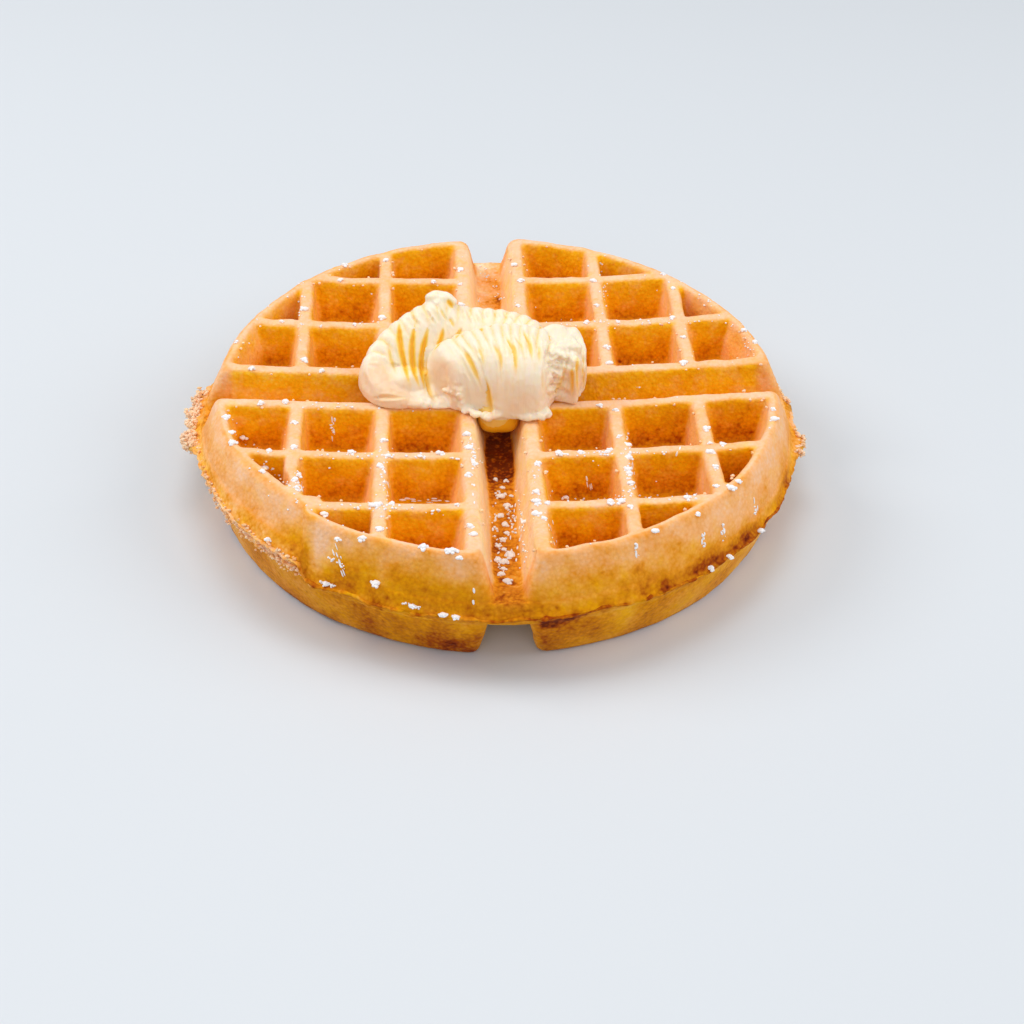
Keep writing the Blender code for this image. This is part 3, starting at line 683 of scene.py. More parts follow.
# How clear of a ring a point of the grid inside it stays, in steps of the grid
GRID_CLEAR = 0.6


def grid_inside(rings, step):
    """Points on a grid inside the first ring, outside the others and clear of every ring's points."""
    near = spot_tree([(x, y, 0.0) for ring in rings for x, y in ring])
    outer = np.array(rings[0])
    low = outer.min(axis=0)
    across, along = ((outer.max(axis=0) - low) / step).astype(int)
    grid = np.array([(low[0] + (i + 0.5 + 0.5 * (j % 2)) * step, low[1] + (j + 0.5) * step)
                     for i in range(across) for j in range(along)])
    if len(grid) == 0:
        return []
    clear = GRID_CLEAR * step
    return [(x, y) for x, y in grid[in_region(grid, rings)] if near.find((x, y, 0.0))[2] > clear]


def build_cap(shell, cap):
    """One face with its pockets and channels. Returns the ring of points round its floor level."""
    along_steps, around_steps = block_steps(cap)
    corner_points = CORNER_STEPS + 1
    arc_first = corner_points + (along_steps - 1) + corner_points - 1
    arc_last = arc_first + around_steps
    cross = []
    ring = []
    quarter_rings = block_loops(cap)
    for x_sign, y_sign in QUARTERS:
        outside = []
        for points, depth in quarter_rings:
            loop = shell.loop(mirrored(points, x_sign, y_sign), cap, depth, CHANNEL)
            for vert in loop:
                vert[shell.zone] = side_zone(vert, depth)
            outside.append(loop)
        for upper, lower in zip(outside, outside[1:]):
            bridge(shell.mesh, upper, lower)
        mouths = []
        for column in range(ROWS):
            for row in range(ROWS):
                loops = pocket_loops(cap, column, row)
                if loops is None:
                    continue
                rings = []
                for points, depth in loops:
                    zone = POCKET_WALL if depth else LAND
                    rings.append(shell.loop(mirrored(points, x_sign, y_sign), cap, depth, zone))
                for upper, lower in zip(rings, rings[1:]):
                    bridge(shell.mesh, upper, lower)
                shell.fill(rings[-1], [], cap, cap.depth, POCKET_WALL)
                mouths.append(rings[0])
        shell.fill(outside[0], mouths, cap, 0.0, LAND)
        floor = outside[-1] if x_sign * y_sign > 0 else outside[-1][::-1]
        arc = floor[arc_first:arc_last + 1]
        along = floor[arc_last:] + floor[:arc_first + 1]
        if x_sign * y_sign < 0:
            arc = arc[::-1]
            along = along[::-1]
        ring.append(arc)
        cross.append(along[::-1])
    closed = []
    floor_edge = []
    for index, arc in enumerate(ring):
        end = channel_end(shell, arc[-1], ring[(index + 1) % len(ring)][0], cap)
        closed += arc + end
        floor_edge += cross[index] + end
    shell.fill(floor_edge, [], cap, cap.depth, CHANNEL)
    return closed


# A point is on the rim's outer wall from this far inside its edge, and this far from a channel's middle
OUTSIDE_INSET = 3.0
OUTSIDE_FROM_CHANNEL = 4.0


def side_zone(vert, depth):
    """Whether a point of a quarter's outside is land, in a channel or on the rim's outer wall."""
    if depth == 0.0:
        return LAND
    x, y = abs(vert.co.x), abs(vert.co.y)
    outside = math.hypot(x, y) > RIM_TOP - OUTSIDE_INSET and min(x, y) > OUTSIDE_FROM_CHANNEL
    return OUTSIDE if outside else CHANNEL


def channel_end(shell, begin, finish, cap):
    """The points of the rim between two quarters, at the channel's floor."""
    radius = math.hypot(begin.co.x, begin.co.y)
    start = math.atan2(begin.co.y, begin.co.x)
    turn = (math.atan2(finish.co.y, finish.co.x) - start) % (2.0 * math.pi)
    angles = [start + turn * step / END_STEPS for step in range(1, END_STEPS)]
    points = [(radius * math.cos(a), radius * math.sin(a)) for a in angles]
    return shell.loop(points, cap, cap.depth, CHANNEL)


def fin_reach(angle):
    """How far the fin at the parting line sticks out of the wall, in one direction."""
    ragged = noise.noise(direction_at(angle) * FIN_GRAIN)
    ragged += FIN_FINE * noise.noise(direction_at(angle, FIN_SHIFT) * FIN_FINE_GRAIN)
    reach = FIN + FIN_RAGGED * ragged
    for centre, width, amount in CREEP:
        away = wrap(math.degrees(angle) - centre)
        reach += amount * bell(away, width) * (CREEP_EVEN + CREEP_RAGGED * ragged)
    return max(reach, FIN_LEAST)


def fin_wave(direction):
    """How far the parting line runs above or below its level, in one direction."""
    return FIN_WAVE * noise.noise(direction * FIN_WAVE_GRAIN + Vector((0.0, 0.0, FIN_WAVE_SHIFT)))


# The wall about the parting line: height over it, and the share of the fin's reach there
FIN_ROWS = ((1.7, 0.0), (0.9, 0.1), (0.45, 0.45), (0.0, 1.0), (-0.45, 0.5), (-0.9, 0.1))


def wall_reach(above):
    """The outer wall's distance from the middle at a height over the parting line."""
    return RIM_PARTING - (UPPER_SLOPE if above > 0.0 else LOWER_SLOPE) * abs(above)


def build_parting(shell, upper, lower):
    """The wall between the two channel floors, with the ragged fin."""
    rows = [upper]
    for above, share in FIN_ROWS:
        row = []
        for high, low in zip(upper, lower):
            angle = math.atan2(high.co.y + low.co.y, high.co.x + low.co.x)
            direction = direction_at(angle)
            spot = direction * (wall_reach(above) + share * fin_reach(angle))
            height = PARTING + above + fin_wave(direction) * share
            row.append(shell.point(spot.x, spot.y, height, FIN_EDGE, 1.0, 0.0))
        rows.append(row)
    rows.append(lower)
    for first, second in zip(rows, rows[1:]):
        bridge(shell.mesh, first, second)


def waffle_shell():
    """The waffle drawn flat."""
    shell = Shell()
    upper = build_cap(shell, UPPER)
    lower = build_cap(shell, LOWER)
    build_parting(shell, upper, lower)
    bmesh.ops.triangulate(shell.mesh, faces=[f for f in shell.mesh.faces if len(f.verts) > 4])
    bmesh.ops.recalc_face_normals(shell.mesh, faces=shell.mesh.faces[:])
    return shell


# Bending the flat drawing into the shape it has on the plate

def sink_middle(x, y, z):
    """The rise of a point where the middle has sunk and the rim has not."""
    share = clamp(z / TOP_FLOOR) ** 2
    return share * (BOWL_X * x * x + BOWL_Y * y * y)


def rim_push(angle, reach, z):
    """How far the front left of the rim is pushed in, up to the crease."""
    degrees = math.degrees(angle)
    crease = CREASE_FOOT + (CREASE_TOP - CREASE_FOOT) * clamp((z - PARTING) / (TOP - PARTING))
    into = clamp((degrees - PUSHED_FROM) / PUSH_GROWS) * clamp((crease - degrees) / CREASE_WIDTH)
    past = ease((degrees - crease) / BULGE_RISES) * ease((crease + BULGE_LENGTH - degrees) / BULGE_FADES)
    share = ease((z - PARTING) / PUSH_ABOVE_PARTING)
    land_share = ease((RIM_TOP + LAND_BLEND_FROM - reach) / RIM_LAND)
    amount = PUSH_WALL + (PUSH_LAND - PUSH_WALL) * land_share
    near_rim = ease((reach - PUSH_STARTS_AT) / PUSH_FADES)
    return share * near_rim * (BULGE_PAST_CREASE * past - amount * into)


def ledge_lift(angle, reach, z):
    """How far the wall's middle height is lifted at the front left, most at the parting line."""
    degrees = math.degrees(angle)
    along = ease((degrees - LEDGE_FROM) / LEDGE_GROWS) * ease((LEDGE_TO - degrees) / LEDGE_ENDS)
    level = clamp(z / PARTING) * clamp((TOP - z) / (TOP - PARTING))
    return LEDGE_LIFT * along * level * ease((reach - RIM_TOP + LEDGE_INSIDE) / LEDGE_BLEND)


def unevenness(x, y, z):
    """The gentle waves of a baked surface, none near the butter or on the resting face."""
    reach = math.hypot(x, y)
    share = clamp(z / TOP_FLOOR) * ease((reach - WAVE_FROM) / WAVE_GROWS)
    return share * WAVE * noise.noise(Vector((x, y, 0.0)) / WAVE_GRAIN)


def bend(point):
    """Where a point of the flat drawing goes, in millimetres."""
    x, y, z = point
    reach = math.hypot(x, y)
    angle = math.atan2(y, x)
    around = Vector((math.cos(angle), math.sin(angle), z * ROUGH_ROUND_UPRIGHT))
    near_rim = ease((reach - ROUGH_ROUND_FROM) / ROUGH_ROUND_GROWS)
    rough = ROUGH_ROUND * near_rim * noise.noise(around * ROUGH_ROUND_GRAIN)
    pushed = reach + rim_push(angle, reach, z) + rough
    scale = pushed / reach if reach > 0.0 else 1.0
    rise = sink_middle(x, y, z) + unevenness(x, y, z) + ledge_lift(angle, reach, z)
    return Vector((x * scale, y * scale, z + rise)) + CENTRED


def new_object(name, data):
    item = bpy.data.objects.new(name, data)
    bpy.context.scene.collection.objects.link(item)
    return item


def placed(name, mesh, finish):
    """An object in metres from a bmesh in millimetres, riding on the part."""
    data = bpy.data.meshes.new(name)
    bmesh.ops.transform(mesh, matrix=Matrix.Scale(MM, 4), verts=mesh.verts[:])
    mesh.to_mesh(data)
    mesh.free()
    data.materials.append(finish)
    data.shade_smooth()
    item = new_object(name, data)
    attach(item, "root")
    return item


# The crust's surface

# The tones each point keeps; brown and peach also carry painted shade and painted light
CRUST_LAYERS = ("brown", "peach", "grainy")

# The butter's painted shadow on the channel floor before it
BUTTER_SHADOW_AT = -18.5
BUTTER_SHADOW_REACH = 11.0
# Browner places that the photograph shows, partly real browning and partly painted shade under the step of
# the parting line and in the butter's shadow: a pixel, how far in millimetres, how much browner
BROWNED_AND_SHADED = (((546, 623), 1.6, 0.58), ((555, 622), 1.6, 0.62), ((564, 620), 1.6, 0.62),
            ((573, 618), 1.5, 0.54), ((584, 615), 1.4, 0.32),
            ((664, 583), 2.4, 0.22), ((676, 580), 2.0, 0.1), ((688, 575), 1.9, 0.1),
            ((696, 571), 1.9, 0.12), ((704, 567), 1.9, 0.13), ((711, 563), 1.9, 0.14),
            ((718, 559), 1.9, 0.15), ((725, 555), 1.9, 0.16), ((732, 550), 1.9, 0.18),
            ((738, 546), 1.9, 0.19), ((744, 541), 1.9, 0.19), ((750, 537), 1.9, 0.18),
            ((756, 532), 1.8, 0.16), ((762, 527), 1.8, 0.14),
            ((638, 568), 1.4, 0.24), ((612, 575), 1.4, 0.12), ((396, 570), 2.2, 0.14),
            ((372, 582), 1.6, 0.12), ((520, 425), 5.0, 0.30), ((480, 636), 2.5, 0.22),
            ((452, 645), 3.0, 0.14), ((418, 640), 1.4, 0.35),
            ((502, 579), 0.8, 0.9), ((512, 583), 0.8, 0.9))

# How far from its middle a browner place is drawn, in its own reach
DARKENING_ENDS = 2.5

# Edges that wander and low dimples, none on the resting face
WARP = 0.28
WARP_GRAIN = 5.5
# Where in the noise each of the three directions of an edge's wandering is read
WARP_SHIFTS = (Vector((31.4, 0.2, 0.7)), Vector((0.6, 47.3, 0.1)), Vector((0.9, 0.5, 59.8)))
DIMPLE = 0.11
DIMPLE_GRAIN = 1.9
FINE_DIMPLE = 0.6
FREE_FROM = 1.2


def roughen(shell):
    """Makes the baked surface uneven: edges that wander, and low dimples."""
    mesh = shell.mesh
    for vert in mesh.verts:
        wander = Vector([noise.noise(vert.co / WARP_GRAIN + shift) for shift in WARP_SHIFTS])
        vert.co += wander * WARP * clamp(vert.co.z / FREE_FROM)
    mesh.normal_update()
    moves = []
    for vert in mesh.verts:
        dimple = noise.noise(vert.co / DIMPLE_GRAIN)
        dimple += FINE_DIMPLE * noise.noise(vert.co / (0.5 * DIMPLE_GRAIN))
        moves.append(vert.normal * dimple * DIMPLE * clamp(vert.co.z / FREE_FROM))
    for vert, move in zip(mesh.verts, moves):
        vert.co += move


# Where the parting line has baked browner along the front, and over how many degrees that comes and goes
TOASTED_FROM = -134.0
TOASTED_TO = -8.0
TOASTED_COMES = 12.0
TOASTED_GOES = 16.0


def toasting(degrees):
    """How much browner the parting line has baked, from 0 to 1, by its direction."""
    return ease((degrees - TOASTED_FROM) / TOASTED_COMES) * ease((TOASTED_TO - degrees) / TOASTED_GOES)


# Sizes of the crust's broad, patchy and fine unevenness of tone
BROAD_GRAIN = 23.0
PATCH_GRAIN = 9.0
PATCH_SHIFT = Vector((5.0, 0.0, 0.0))
FINE_GRAIN = 3.1
# The share of a wall's depth that its pale top edge takes
PALE_EDGE = 0.06


class Spot:
    """A point of the crust, with what its tone depends on.

    deep runs from 0 at the ribs' tops to 1 at the floor, and under is 1 on the lower half. Walls that
    face left or right are painted paler than those that face the front or the back, less so where they face
    right outside the channels: painted light from the lamps at the sides and a painted sheen.
    """

    def __init__(self, shell, vert):
        self.zone = vert[shell.zone]
        self.deep = vert[shell.deep]
        self.under = vert[shell.under]
        self.at = vert.co
        self.facing = vert.normal
        self.patch = noise.noise(vert.co / PATCH_GRAIN + PATCH_SHIFT)
        # How much a point faces left or right, less where it faces right outside the channels: the share of
        # painted light and painted sheen
        self.sideways = ease((abs(self.facing.x) - 0.45) / 0.35)
        if self.facing.x >= 0.0 and self.zone != CHANNEL:
            self.sideways *= 0.6

    def mottle(self, broad, patch, fine):
        """Uneven tone with a share of each size."""
        return (broad * noise.noise(self.at / BROAD_GRAIN) + patch * self.patch
                + fine * noise.noise(self.at / FINE_GRAIN))

    def below_edge(self, paler):
        """0 on a wall's pale top edge and 1 below it, or less where it faces sideways, as painted light."""
        return ease(self.deep / (PALE_EDGE * (1.0 + self.sideways))) * (1.0 - paler * self.sideways)


# In the tones below, each term says how much browner, peachier or grainier something makes a point

def pocket_tone(spot):
    """Pale at the mouth, browner with depth, partly as painted shade low in the pocket, and most of all in
    the pockets at the front right. Walls that face sideways get painted light.
    """
    rise = spot.below_edge(0.65)
    front_right = ease((spot.at.x - 5.0) / 45.0) * ease((8.0 - spot.at.y) / 20.0)
    floor = ease((spot.facing.z - 0.6) / 0.35) * ease((spot.deep - 0.8) / 0.2)
    # Depth browns the wall partly as painted shade; walls that face sideways get painted light
    brown = 0.29 + 0.14 * rise + 0.30 * spot.deep ** 1.8 * (1.0 - 0.5 * spot.sideways)
    brown += 0.08 * front_right * rise - 0.12 * floor + spot.mottle(0.08, 0.12, 0.07) * (0.5 + 0.5 * rise)
    peach = (1.0 - rise) * (1.0 - 0.5 * spot.sideways * ease(spot.facing.x))
    grainy = (0.5 + 0.25 * spot.deep) * (1.0 - 0.6 * spot.sideways) * (1.0 - 0.4 * floor)
    return brown, peach, grainy


def channel_tone(spot):
    """Amber walls with a pale edge and painted light where they face sideways, and a floor with painted shade
    in front and the butter's painted shadow, mottled behind.
    """
    rise = spot.below_edge(0.95)
    floor = ease((spot.deep - 0.93) / 0.07) * (1.0 - spot.under)
    wall = 1.0 - floor
    # The share of painted shade on the floor, growing towards the front
    front_shade = ease((12.0 - spot.at.y) / 20.0)
    left = ease((-spot.at.x - 12.0) / 12.0) * rise
    brown = 0.28 + 0.13 * rise - 0.06 * left + spot.mottle(0.08, 0.08, 0.05)
    brown += floor * (0.34 * front_shade - 0.02 + 0.2 * spot.patch)
    brown += floor * (1.0 - front_shade) * spot.mottle(0.0, 0.22, 0.3)
    # Painted shadow of the butter on the floor before it
    butter_shadow = ease((spot.deep - 0.8) / 0.2) * bell(spot.at.y - BUTTER_SHADOW_AT, BUTTER_SHADOW_REACH)
    brown += 0.75 * butter_shadow * ease((9.0 - abs(spot.at.x)) / 2.0) * (1.0 - spot.under)
    # Painted light on walls that face sideways, most on those that face right, which lie in shade
    brown -= spot.sideways * wall * (0.26 * ease(spot.facing.x) + 0.12 * ease(-spot.facing.x))
    peach = 1.0 - (0.9 * rise + 0.25 * spot.sideways) * wall - floor * (0.2 + 0.4 * front_shade)
    peach -= 0.15 * rise * ease(spot.at.x / 20.0) * wall
    return brown, clamp(peach), (0.55 - 0.2 * spot.sideways) * wall + 0.8 * floor


def outside_tone(spot, degrees, toasted):
    """Blotched, and browner towards the parting line and under it. Painted shade darkens the hollow just
    before the crease, and painted light makes the bulge just after it, both ends and the walls that face
    sideways paler and peachier.
    """
    under = spot.under
    upper = 1.0 - under
    blotch = ease(0.5 + spot.mottle(0.0, 1.3, 0.5))
    foremost = ease((-spot.facing.y - 0.7) / 0.25)
    rightward = ease(spot.at.x / 30.0) * (1.0 - 0.6 * ease((spot.at.x - 30.0) / 25.0))
    # Painted light at the left and right ends of the wall, which face the lamps at the sides
    lit_end = ease((abs(spot.at.x) - 48.0) / 26.0)
    leftward = ease((-spot.at.x - 5.0) / 20.0) * (1.0 - lit_end)
    past_crease = degrees - CREASE_FOOT
    # Painted shade in the hollow just before the crease, and painted light on the bulge just after it
    before = bell(past_crease + 4.5, 3.5) if past_crease < 0.0 else 0.0
    after = bell(past_crease - 2.0, 2.2) if past_crease >= 0.0 else 0.0
    # Walls that face sideways get painted light: less brown, and peachier further down
    brown = 0.42 + spot.mottle(0.06, 0.0, 0.04) + 0.12 * blotch - (0.10 - 0.05 * under) * spot.sideways
    brown += upper * (0.14 * ease((spot.deep - 0.2) / 0.7) + 0.04 * toasted * ease((spot.deep - 0.84) / 0.1))
    brown += upper * (0.05 * before - 0.14 * after - 0.02 * lit_end)
    brown += under * (0.18 + 0.13 * foremost + 0.10 * spot.patch + 0.24 * ease((0.16 - spot.deep) / 0.16))
    brown -= under * (0.12 * rightward + 0.08 * ease((spot.deep - 0.6) / 0.3))
    peach = 1.25 - 0.9 * ease((spot.deep - 0.1) / 0.8) - 0.25 * blotch
    peach += 0.5 * after - 0.3 * before + 0.3 * lit_end - 0.3 * leftward
    peach = peach * upper + 0.1 * (1.0 - foremost) * under + (0.6 - 0.25 * under) * spot.sideways
    return brown, clamp(peach), 0.4 + 0.1 * under


def crust_tone(spot):
    """How brown a point of the crust is, how peachy and how grainy, each from 0 to 1."""
    # Rib tops are peach: partly their own paler tone, partly a painted sheen
    if spot.zone == LAND:
        return 0.30 + spot.mottle(0.05, 0.08, 0.07), 1.0, 0.3
    if spot.zone == POCKET_WALL:
        return pocket_tone(spot)
    if spot.zone == CHANNEL:
        return channel_tone(spot)
    degrees = math.degrees(math.atan2(spot.at.y, spot.at.x))
    toasted = toasting(degrees)
    if spot.zone == FIN_EDGE:
        brown = 0.5 + spot.mottle(0.0, 0.2, 0.2) + 0.17 * toasted
        return brown, 0.45 - 0.4 * toasted, 0.8 - 0.3 * toasted
    return outside_tone(spot, degrees, toasted)


def paint_crust(shell):
    """Keeps the tones as attributes, evened out a little between neighbours."""
    mesh = shell.mesh
    layers = [mesh.verts.layers.float.new(name) for name in CRUST_LAYERS]
    mesh.normal_update()
    tones = [crust_tone(Spot(shell, vert)) for vert in mesh.verts]
    mesh.verts.index_update()
    for vert in mesh.verts:
        around = [tones[edge.other_vert(vert).index] for edge in vert.link_edges]
        own = tones[vert.index]
        count = len(around) + 2.0
        for which, layer in enumerate(layers):
            vert[layer] = clamp((2.0 * own[which] + sum(tone[which] for tone in around)) / count)


def brown_and_shade(mesh, tree):
    """Browns the places that the photograph shows darker: partly real browning, partly painted shade."""
    brown_layer = mesh.verts.layers.float["brown"]
    for spot, reach, amount in seen_places(tree, BROWNED_AND_SHADED):
        for vert in mesh.verts:
            away = (vert.co - spot).length
            if away < DARKENING_ENDS * reach:
                vert[brown_layer] = clamp(vert[brown_layer] + amount * bell(away, reach))


# Materials

def linear(red, green, blue):
    """A colour as it looks on a screen, 0 to 255, as the renderer's linear one."""
    out = []
    for value in (red, green, blue):
        share = value / 255.0
        out.append(share / 12.92 if share <= 0.04045 else ((share + 0.055) / 1.055) ** 2.4)
    return (*out, 1.0)


class Finish:
    """A material while it is put together from shader nodes. Sizes are in millimetres."""

    def __init__(self, name):
        self.material = bpy.data.materials.new(name)
        self.material.use_nodes = True
        self.nodes = self.material.node_tree.nodes
        self.links = self.material.node_tree.links
        self.shader = self.nodes["Principled BSDF"]
        self.place = self.node("ShaderNodeTexCoord").outputs["Object"]

    def node(self, kind, **values):
        """A shader node with its properties or inputs set by name."""
        made = self.nodes.new(kind)
        for key, value in values.items():
            if hasattr(made, key):
                setattr(made, key, value)
            else:
                made.inputs[key.replace("_", " ")].default_value = value
        return made

    def set(self, **values):
        for key, value in values.items():
            self.shader.inputs[key.replace("_", " ")].default_value = value

    def colour(self, source):
        self.links.new(source, self.shader.inputs["Base Color"])

    def bump(self, height, strength, distance):
        made = self.node("ShaderNodeBump", Strength=strength, Distance=distance * MM)
        self.links.new(height, made.inputs["Height"])
        self.links.new(made.outputs["Normal"], self.shader.inputs["Normal"])

    def attribute(self, name):
        return self.node("ShaderNodeAttribute", attribute_name=name, attribute_type="GEOMETRY").outputs["Fac"]

    def maths(self, operation, first, second):
        made = self.node("ShaderNodeMath", operation=operation)
        for socket, value in zip(made.inputs, (first, second)):
            if isinstance(value, (int, float)):
                socket.default_value = value
            else:
                self.links.new(value, socket)
        return made.outputs[0]

    def times(self, first, second):
        return self.maths("MULTIPLY", first, second)

    def total(self, first, *others):
        for other in others:
            first = self.maths("ADD", first, other)
        return first

    def spread(self, source, amount):
        """A noise from 0 to 1 as one about zero, times an amount."""
        return self.times(self.maths("SUBTRACT", source, 0.5), amount)

    def ramp(self, source, stops):
        """A colour ramp from (place, screen colour) stops."""
        made = self.node("ShaderNodeValToRGB")
        elements = made.color_ramp.elements
        while len(elements) < len(stops):
            elements.new(0.5)
        for element, (place, colour) in zip(elements, stops):
            element.position = place
            element.color = linear(*colour)
        self.links.new(source, made.inputs["Fac"])
        return made.outputs["Color"]

    def mixed(self, share, first, second):
        """Two colours mixed by a share, which is held between 0 and 1."""
        made = self.node("ShaderNodeMix", data_type="RGBA", clamp_factor=True)
        self.links.new(share, made.inputs["Factor"])
        first_in, second_in = [socket for socket in made.inputs if socket.type == "RGBA"]
        self.links.new(first, first_in)
        self.links.new(second, second_in)
        return [socket for socket in made.outputs if socket.type == "RGBA"][0]

    def grain(self, size, detail, place=None):
        """Noise with grains of about the given size, from 0 to 1."""
        made = self.node("ShaderNodeTexNoise", Scale=1.0 / (size * MM), Detail=detail, Roughness=0.6)
        self.links.new(self.place if place is None else place, made.inputs["Vector"])
        return made.outputs["Fac"]

    def cells(self, size):
        """The distance from the middles of cells of about the given size."""
        made = self.node("ShaderNodeTexVoronoi", Scale=1.0 / (size * MM))
        self.links.new(self.place, made.inputs["Vector"])
        return made.outputs["Distance"]


# The crust from pale to scorched, where it faced the iron and on the ribs
CRUST_AMBER = ((0.0, (255, 224, 130)),
               (0.2, (255, 206, 74)),
               (0.36, (253, 187, 24)),
               (0.5, (243, 169, 4)),
               (0.64, (228, 147, 1)),
               (0.78, (200, 116, 1)),
               (0.9, (164, 70, 1)),
               (1.0, (104, 28, 1)))
CRUST_PEACH = ((0.0, (255, 224, 190)),
               (0.25, (252, 203, 164)),
               (0.45, (251, 182, 116)),
               (0.65, (239, 150, 46)),
               (0.85, (192, 104, 12)),
               (1.0, (120, 54, 6)))


def crust_material():
    """Amber to brown where the crust faced the iron or painted shade falls, and peach on the ribs and where
    painted light falls, with freckles and fine pores.
    """
    finish = Finish("crust")
    brown, peach, grainy = [finish.attribute(name) for name in CRUST_LAYERS]
    mottle = finish.grain(2.6, 3.0)
    speckle = finish.grain(1.2, 1.0)
    pores = finish.cells(1.15)
    freckles = finish.maths("MAXIMUM", finish.maths("SUBTRACT", 0.22, finish.cells(4.2)), 0.0)
    uneven = finish.total(finish.spread(mottle, 0.5), finish.spread(speckle, 0.4),
                          finish.spread(pores, 0.3), finish.times(freckles, 1.3))
    level = finish.total(brown, finish.times(uneven, grainy))
    rosy = finish.total(peach, finish.spread(finish.grain(4.5, 3.0), 1.5))
    finish.colour(finish.mixed(rosy, finish.ramp(level, CRUST_AMBER), finish.ramp(level, CRUST_PEACH)))
    finish.set(Roughness=0.62, Specular_IOR_Level=0.07,
               Sheen_Weight=0.03, Sheen_Roughness=0.45, Sheen_Tint=(1.0, 0.86, 0.76, 1.0),
               Subsurface_Weight=0.06, Subsurface_Radius=(1.0, 0.6, 0.25), Subsurface_Scale=1.0 * MM)
    height = finish.total(finish.times(speckle, 0.7), finish.times(pores, -0.5), finish.times(mottle, 0.5))
    finish.bump(height, 0.65, 0.45)
    return finish.material


# From the butter's smooth outside to the bottom of a groove, where it is fresh and where painted shade makes
# it warmer in tone
BUTTER_FRESH = ((0.0, (252, 236, 212)),
                (0.25, (252, 228, 190)),
                (0.5, (255, 214, 118)),
                (0.8, (255, 200, 58)),
                (1.0, (255, 186, 30)))
BUTTER_SHADED = ((0.0, (240, 204, 168)),
               (0.4, (246, 202, 136)),
               (1.0, (250, 184, 30)))
# The knife's fine strokes run down the butter's sides: how much their grain is drawn out
STROKE_STRETCH = 0.12


def butter_material():
    finish = Finish("butter")
    level = finish.total(finish.attribute("groove"), finish.spread(finish.grain(5.0, 2.0), 0.35))
    # This attribute mixes in painted shade, warmer in tone, where the butter lies in shade
    finish.colour(finish.mixed(finish.attribute("painted_shade"),
                               finish.ramp(level, BUTTER_FRESH), finish.ramp(level, BUTTER_SHADED)))
    finish.set(Roughness=0.36, Specular_IOR_Level=0.45,
               Subsurface_Weight=0.5, Subsurface_Radius=(1.0, 0.75, 0.35), Subsurface_Scale=2.2 * MM)
    drawn_out = finish.node("ShaderNodeMapping", Scale=(1.0, 0.5, STROKE_STRETCH))
    finish.links.new(finish.place, drawn_out.inputs["Vector"])
    strokes = finish.grain(0.8, 2.0, drawn_out.outputs["Vector"])
    finish.bump(finish.total(finish.times(finish.grain(0.9, 3.0), 0.5), strokes), 0.45, 0.25)
    return finish.material


def sugar_material():
    finish = Finish("sugar")
    fine = finish.grain(0.35, 2.0)
    finish.colour(finish.ramp(fine, ((0.3, (236, 232, 234)), (0.6, (252, 250, 250)))))
    finish.set(Roughness=0.7,
               Subsurface_Weight=0.08, Subsurface_Radius=(1.0, 0.9, 0.8), Subsurface_Scale=0.3 * MM)
    finish.bump(fine, 0.6, 0.15)
    return finish.material


# The butter

def spline(stations, at):
    """A smooth curve through the stations, each a row of numbers."""
    last = len(stations) - 1
    index = min(int(at), last - 1)
    t = at - index
    before = stations[max(index - 1, 0)]
    here = stations[index]
    there = stations[index + 1]
    after = stations[min(index + 2, last)]
    row = []
    for a, b, c, d in zip(before, here, there, after):
        bend_in = 2.0 * a - 5.0 * b + 4.0 * c - d
        bend_out = 3.0 * b - a - 3.0 * c + d
        row.append(0.5 * (2.0 * b + (c - a) * t + bend_in * t * t + bend_out * t ** 3))
    return row


# How many steps a curve is measured in, and how near the two places are that give its direction
MEASURED = 400
NEAR = 0.01


def even_places(stations, count):
    """Places along a curve, an even distance apart."""
    last = len(stations) - 1
    rows = [spline(stations, last * i / MEASURED) for i in range(MEASURED + 1)]
    travelled = [0.0]
    for a, b in zip(rows, rows[1:]):
        travelled.append(travelled[-1] + math.hypot(b[0] - a[0], b[1] - a[1]))
    places = []
    step = 0
    for i in range(count + 1):
        target = travelled[-1] * i / count
        while step < MEASURED - 1 and travelled[step + 1] < target:
            step += 1
        part = (target - travelled[step]) / (travelled[step + 1] - travelled[step])
        places.append(last * (step + clamp(part)) / MEASURED)
    return places


def to_the_right(stations, at):
    """The direction to the right-hand side of a curve at a place along it."""
    near = spline(stations, max(at - NEAR, 0.0))
    far = spline(stations, min(at + NEAR, len(stations) - 1.0))
    along = Vector((far[0] - near[0], far[1] - near[1])).normalized()
    return Vector((along.y, -along.x))


def flute_cut(count, flutes, slant, angle):
    """How deep a point of a curl lies in a flute, from 0 on a crest to 1, with less where it is smoothed."""
    across = math.cos(angle)
    wobble = 0.12 + 0.25 * ease(-across / BEHIND)
    wobble *= noise.noise(Vector((count * 0.9, angle * 1.3, flutes)))
    lean = slant * max(across, 0.0) * (1.0 - count / flutes)
    share = (1.0 - abs(math.sin(math.pi * (count + lean + wobble)))) ** 1.3
    return share * ease(math.sin(angle) / 0.45) * (1.0 - SMOOTHED * ease((across - 0.2) / 0.45))


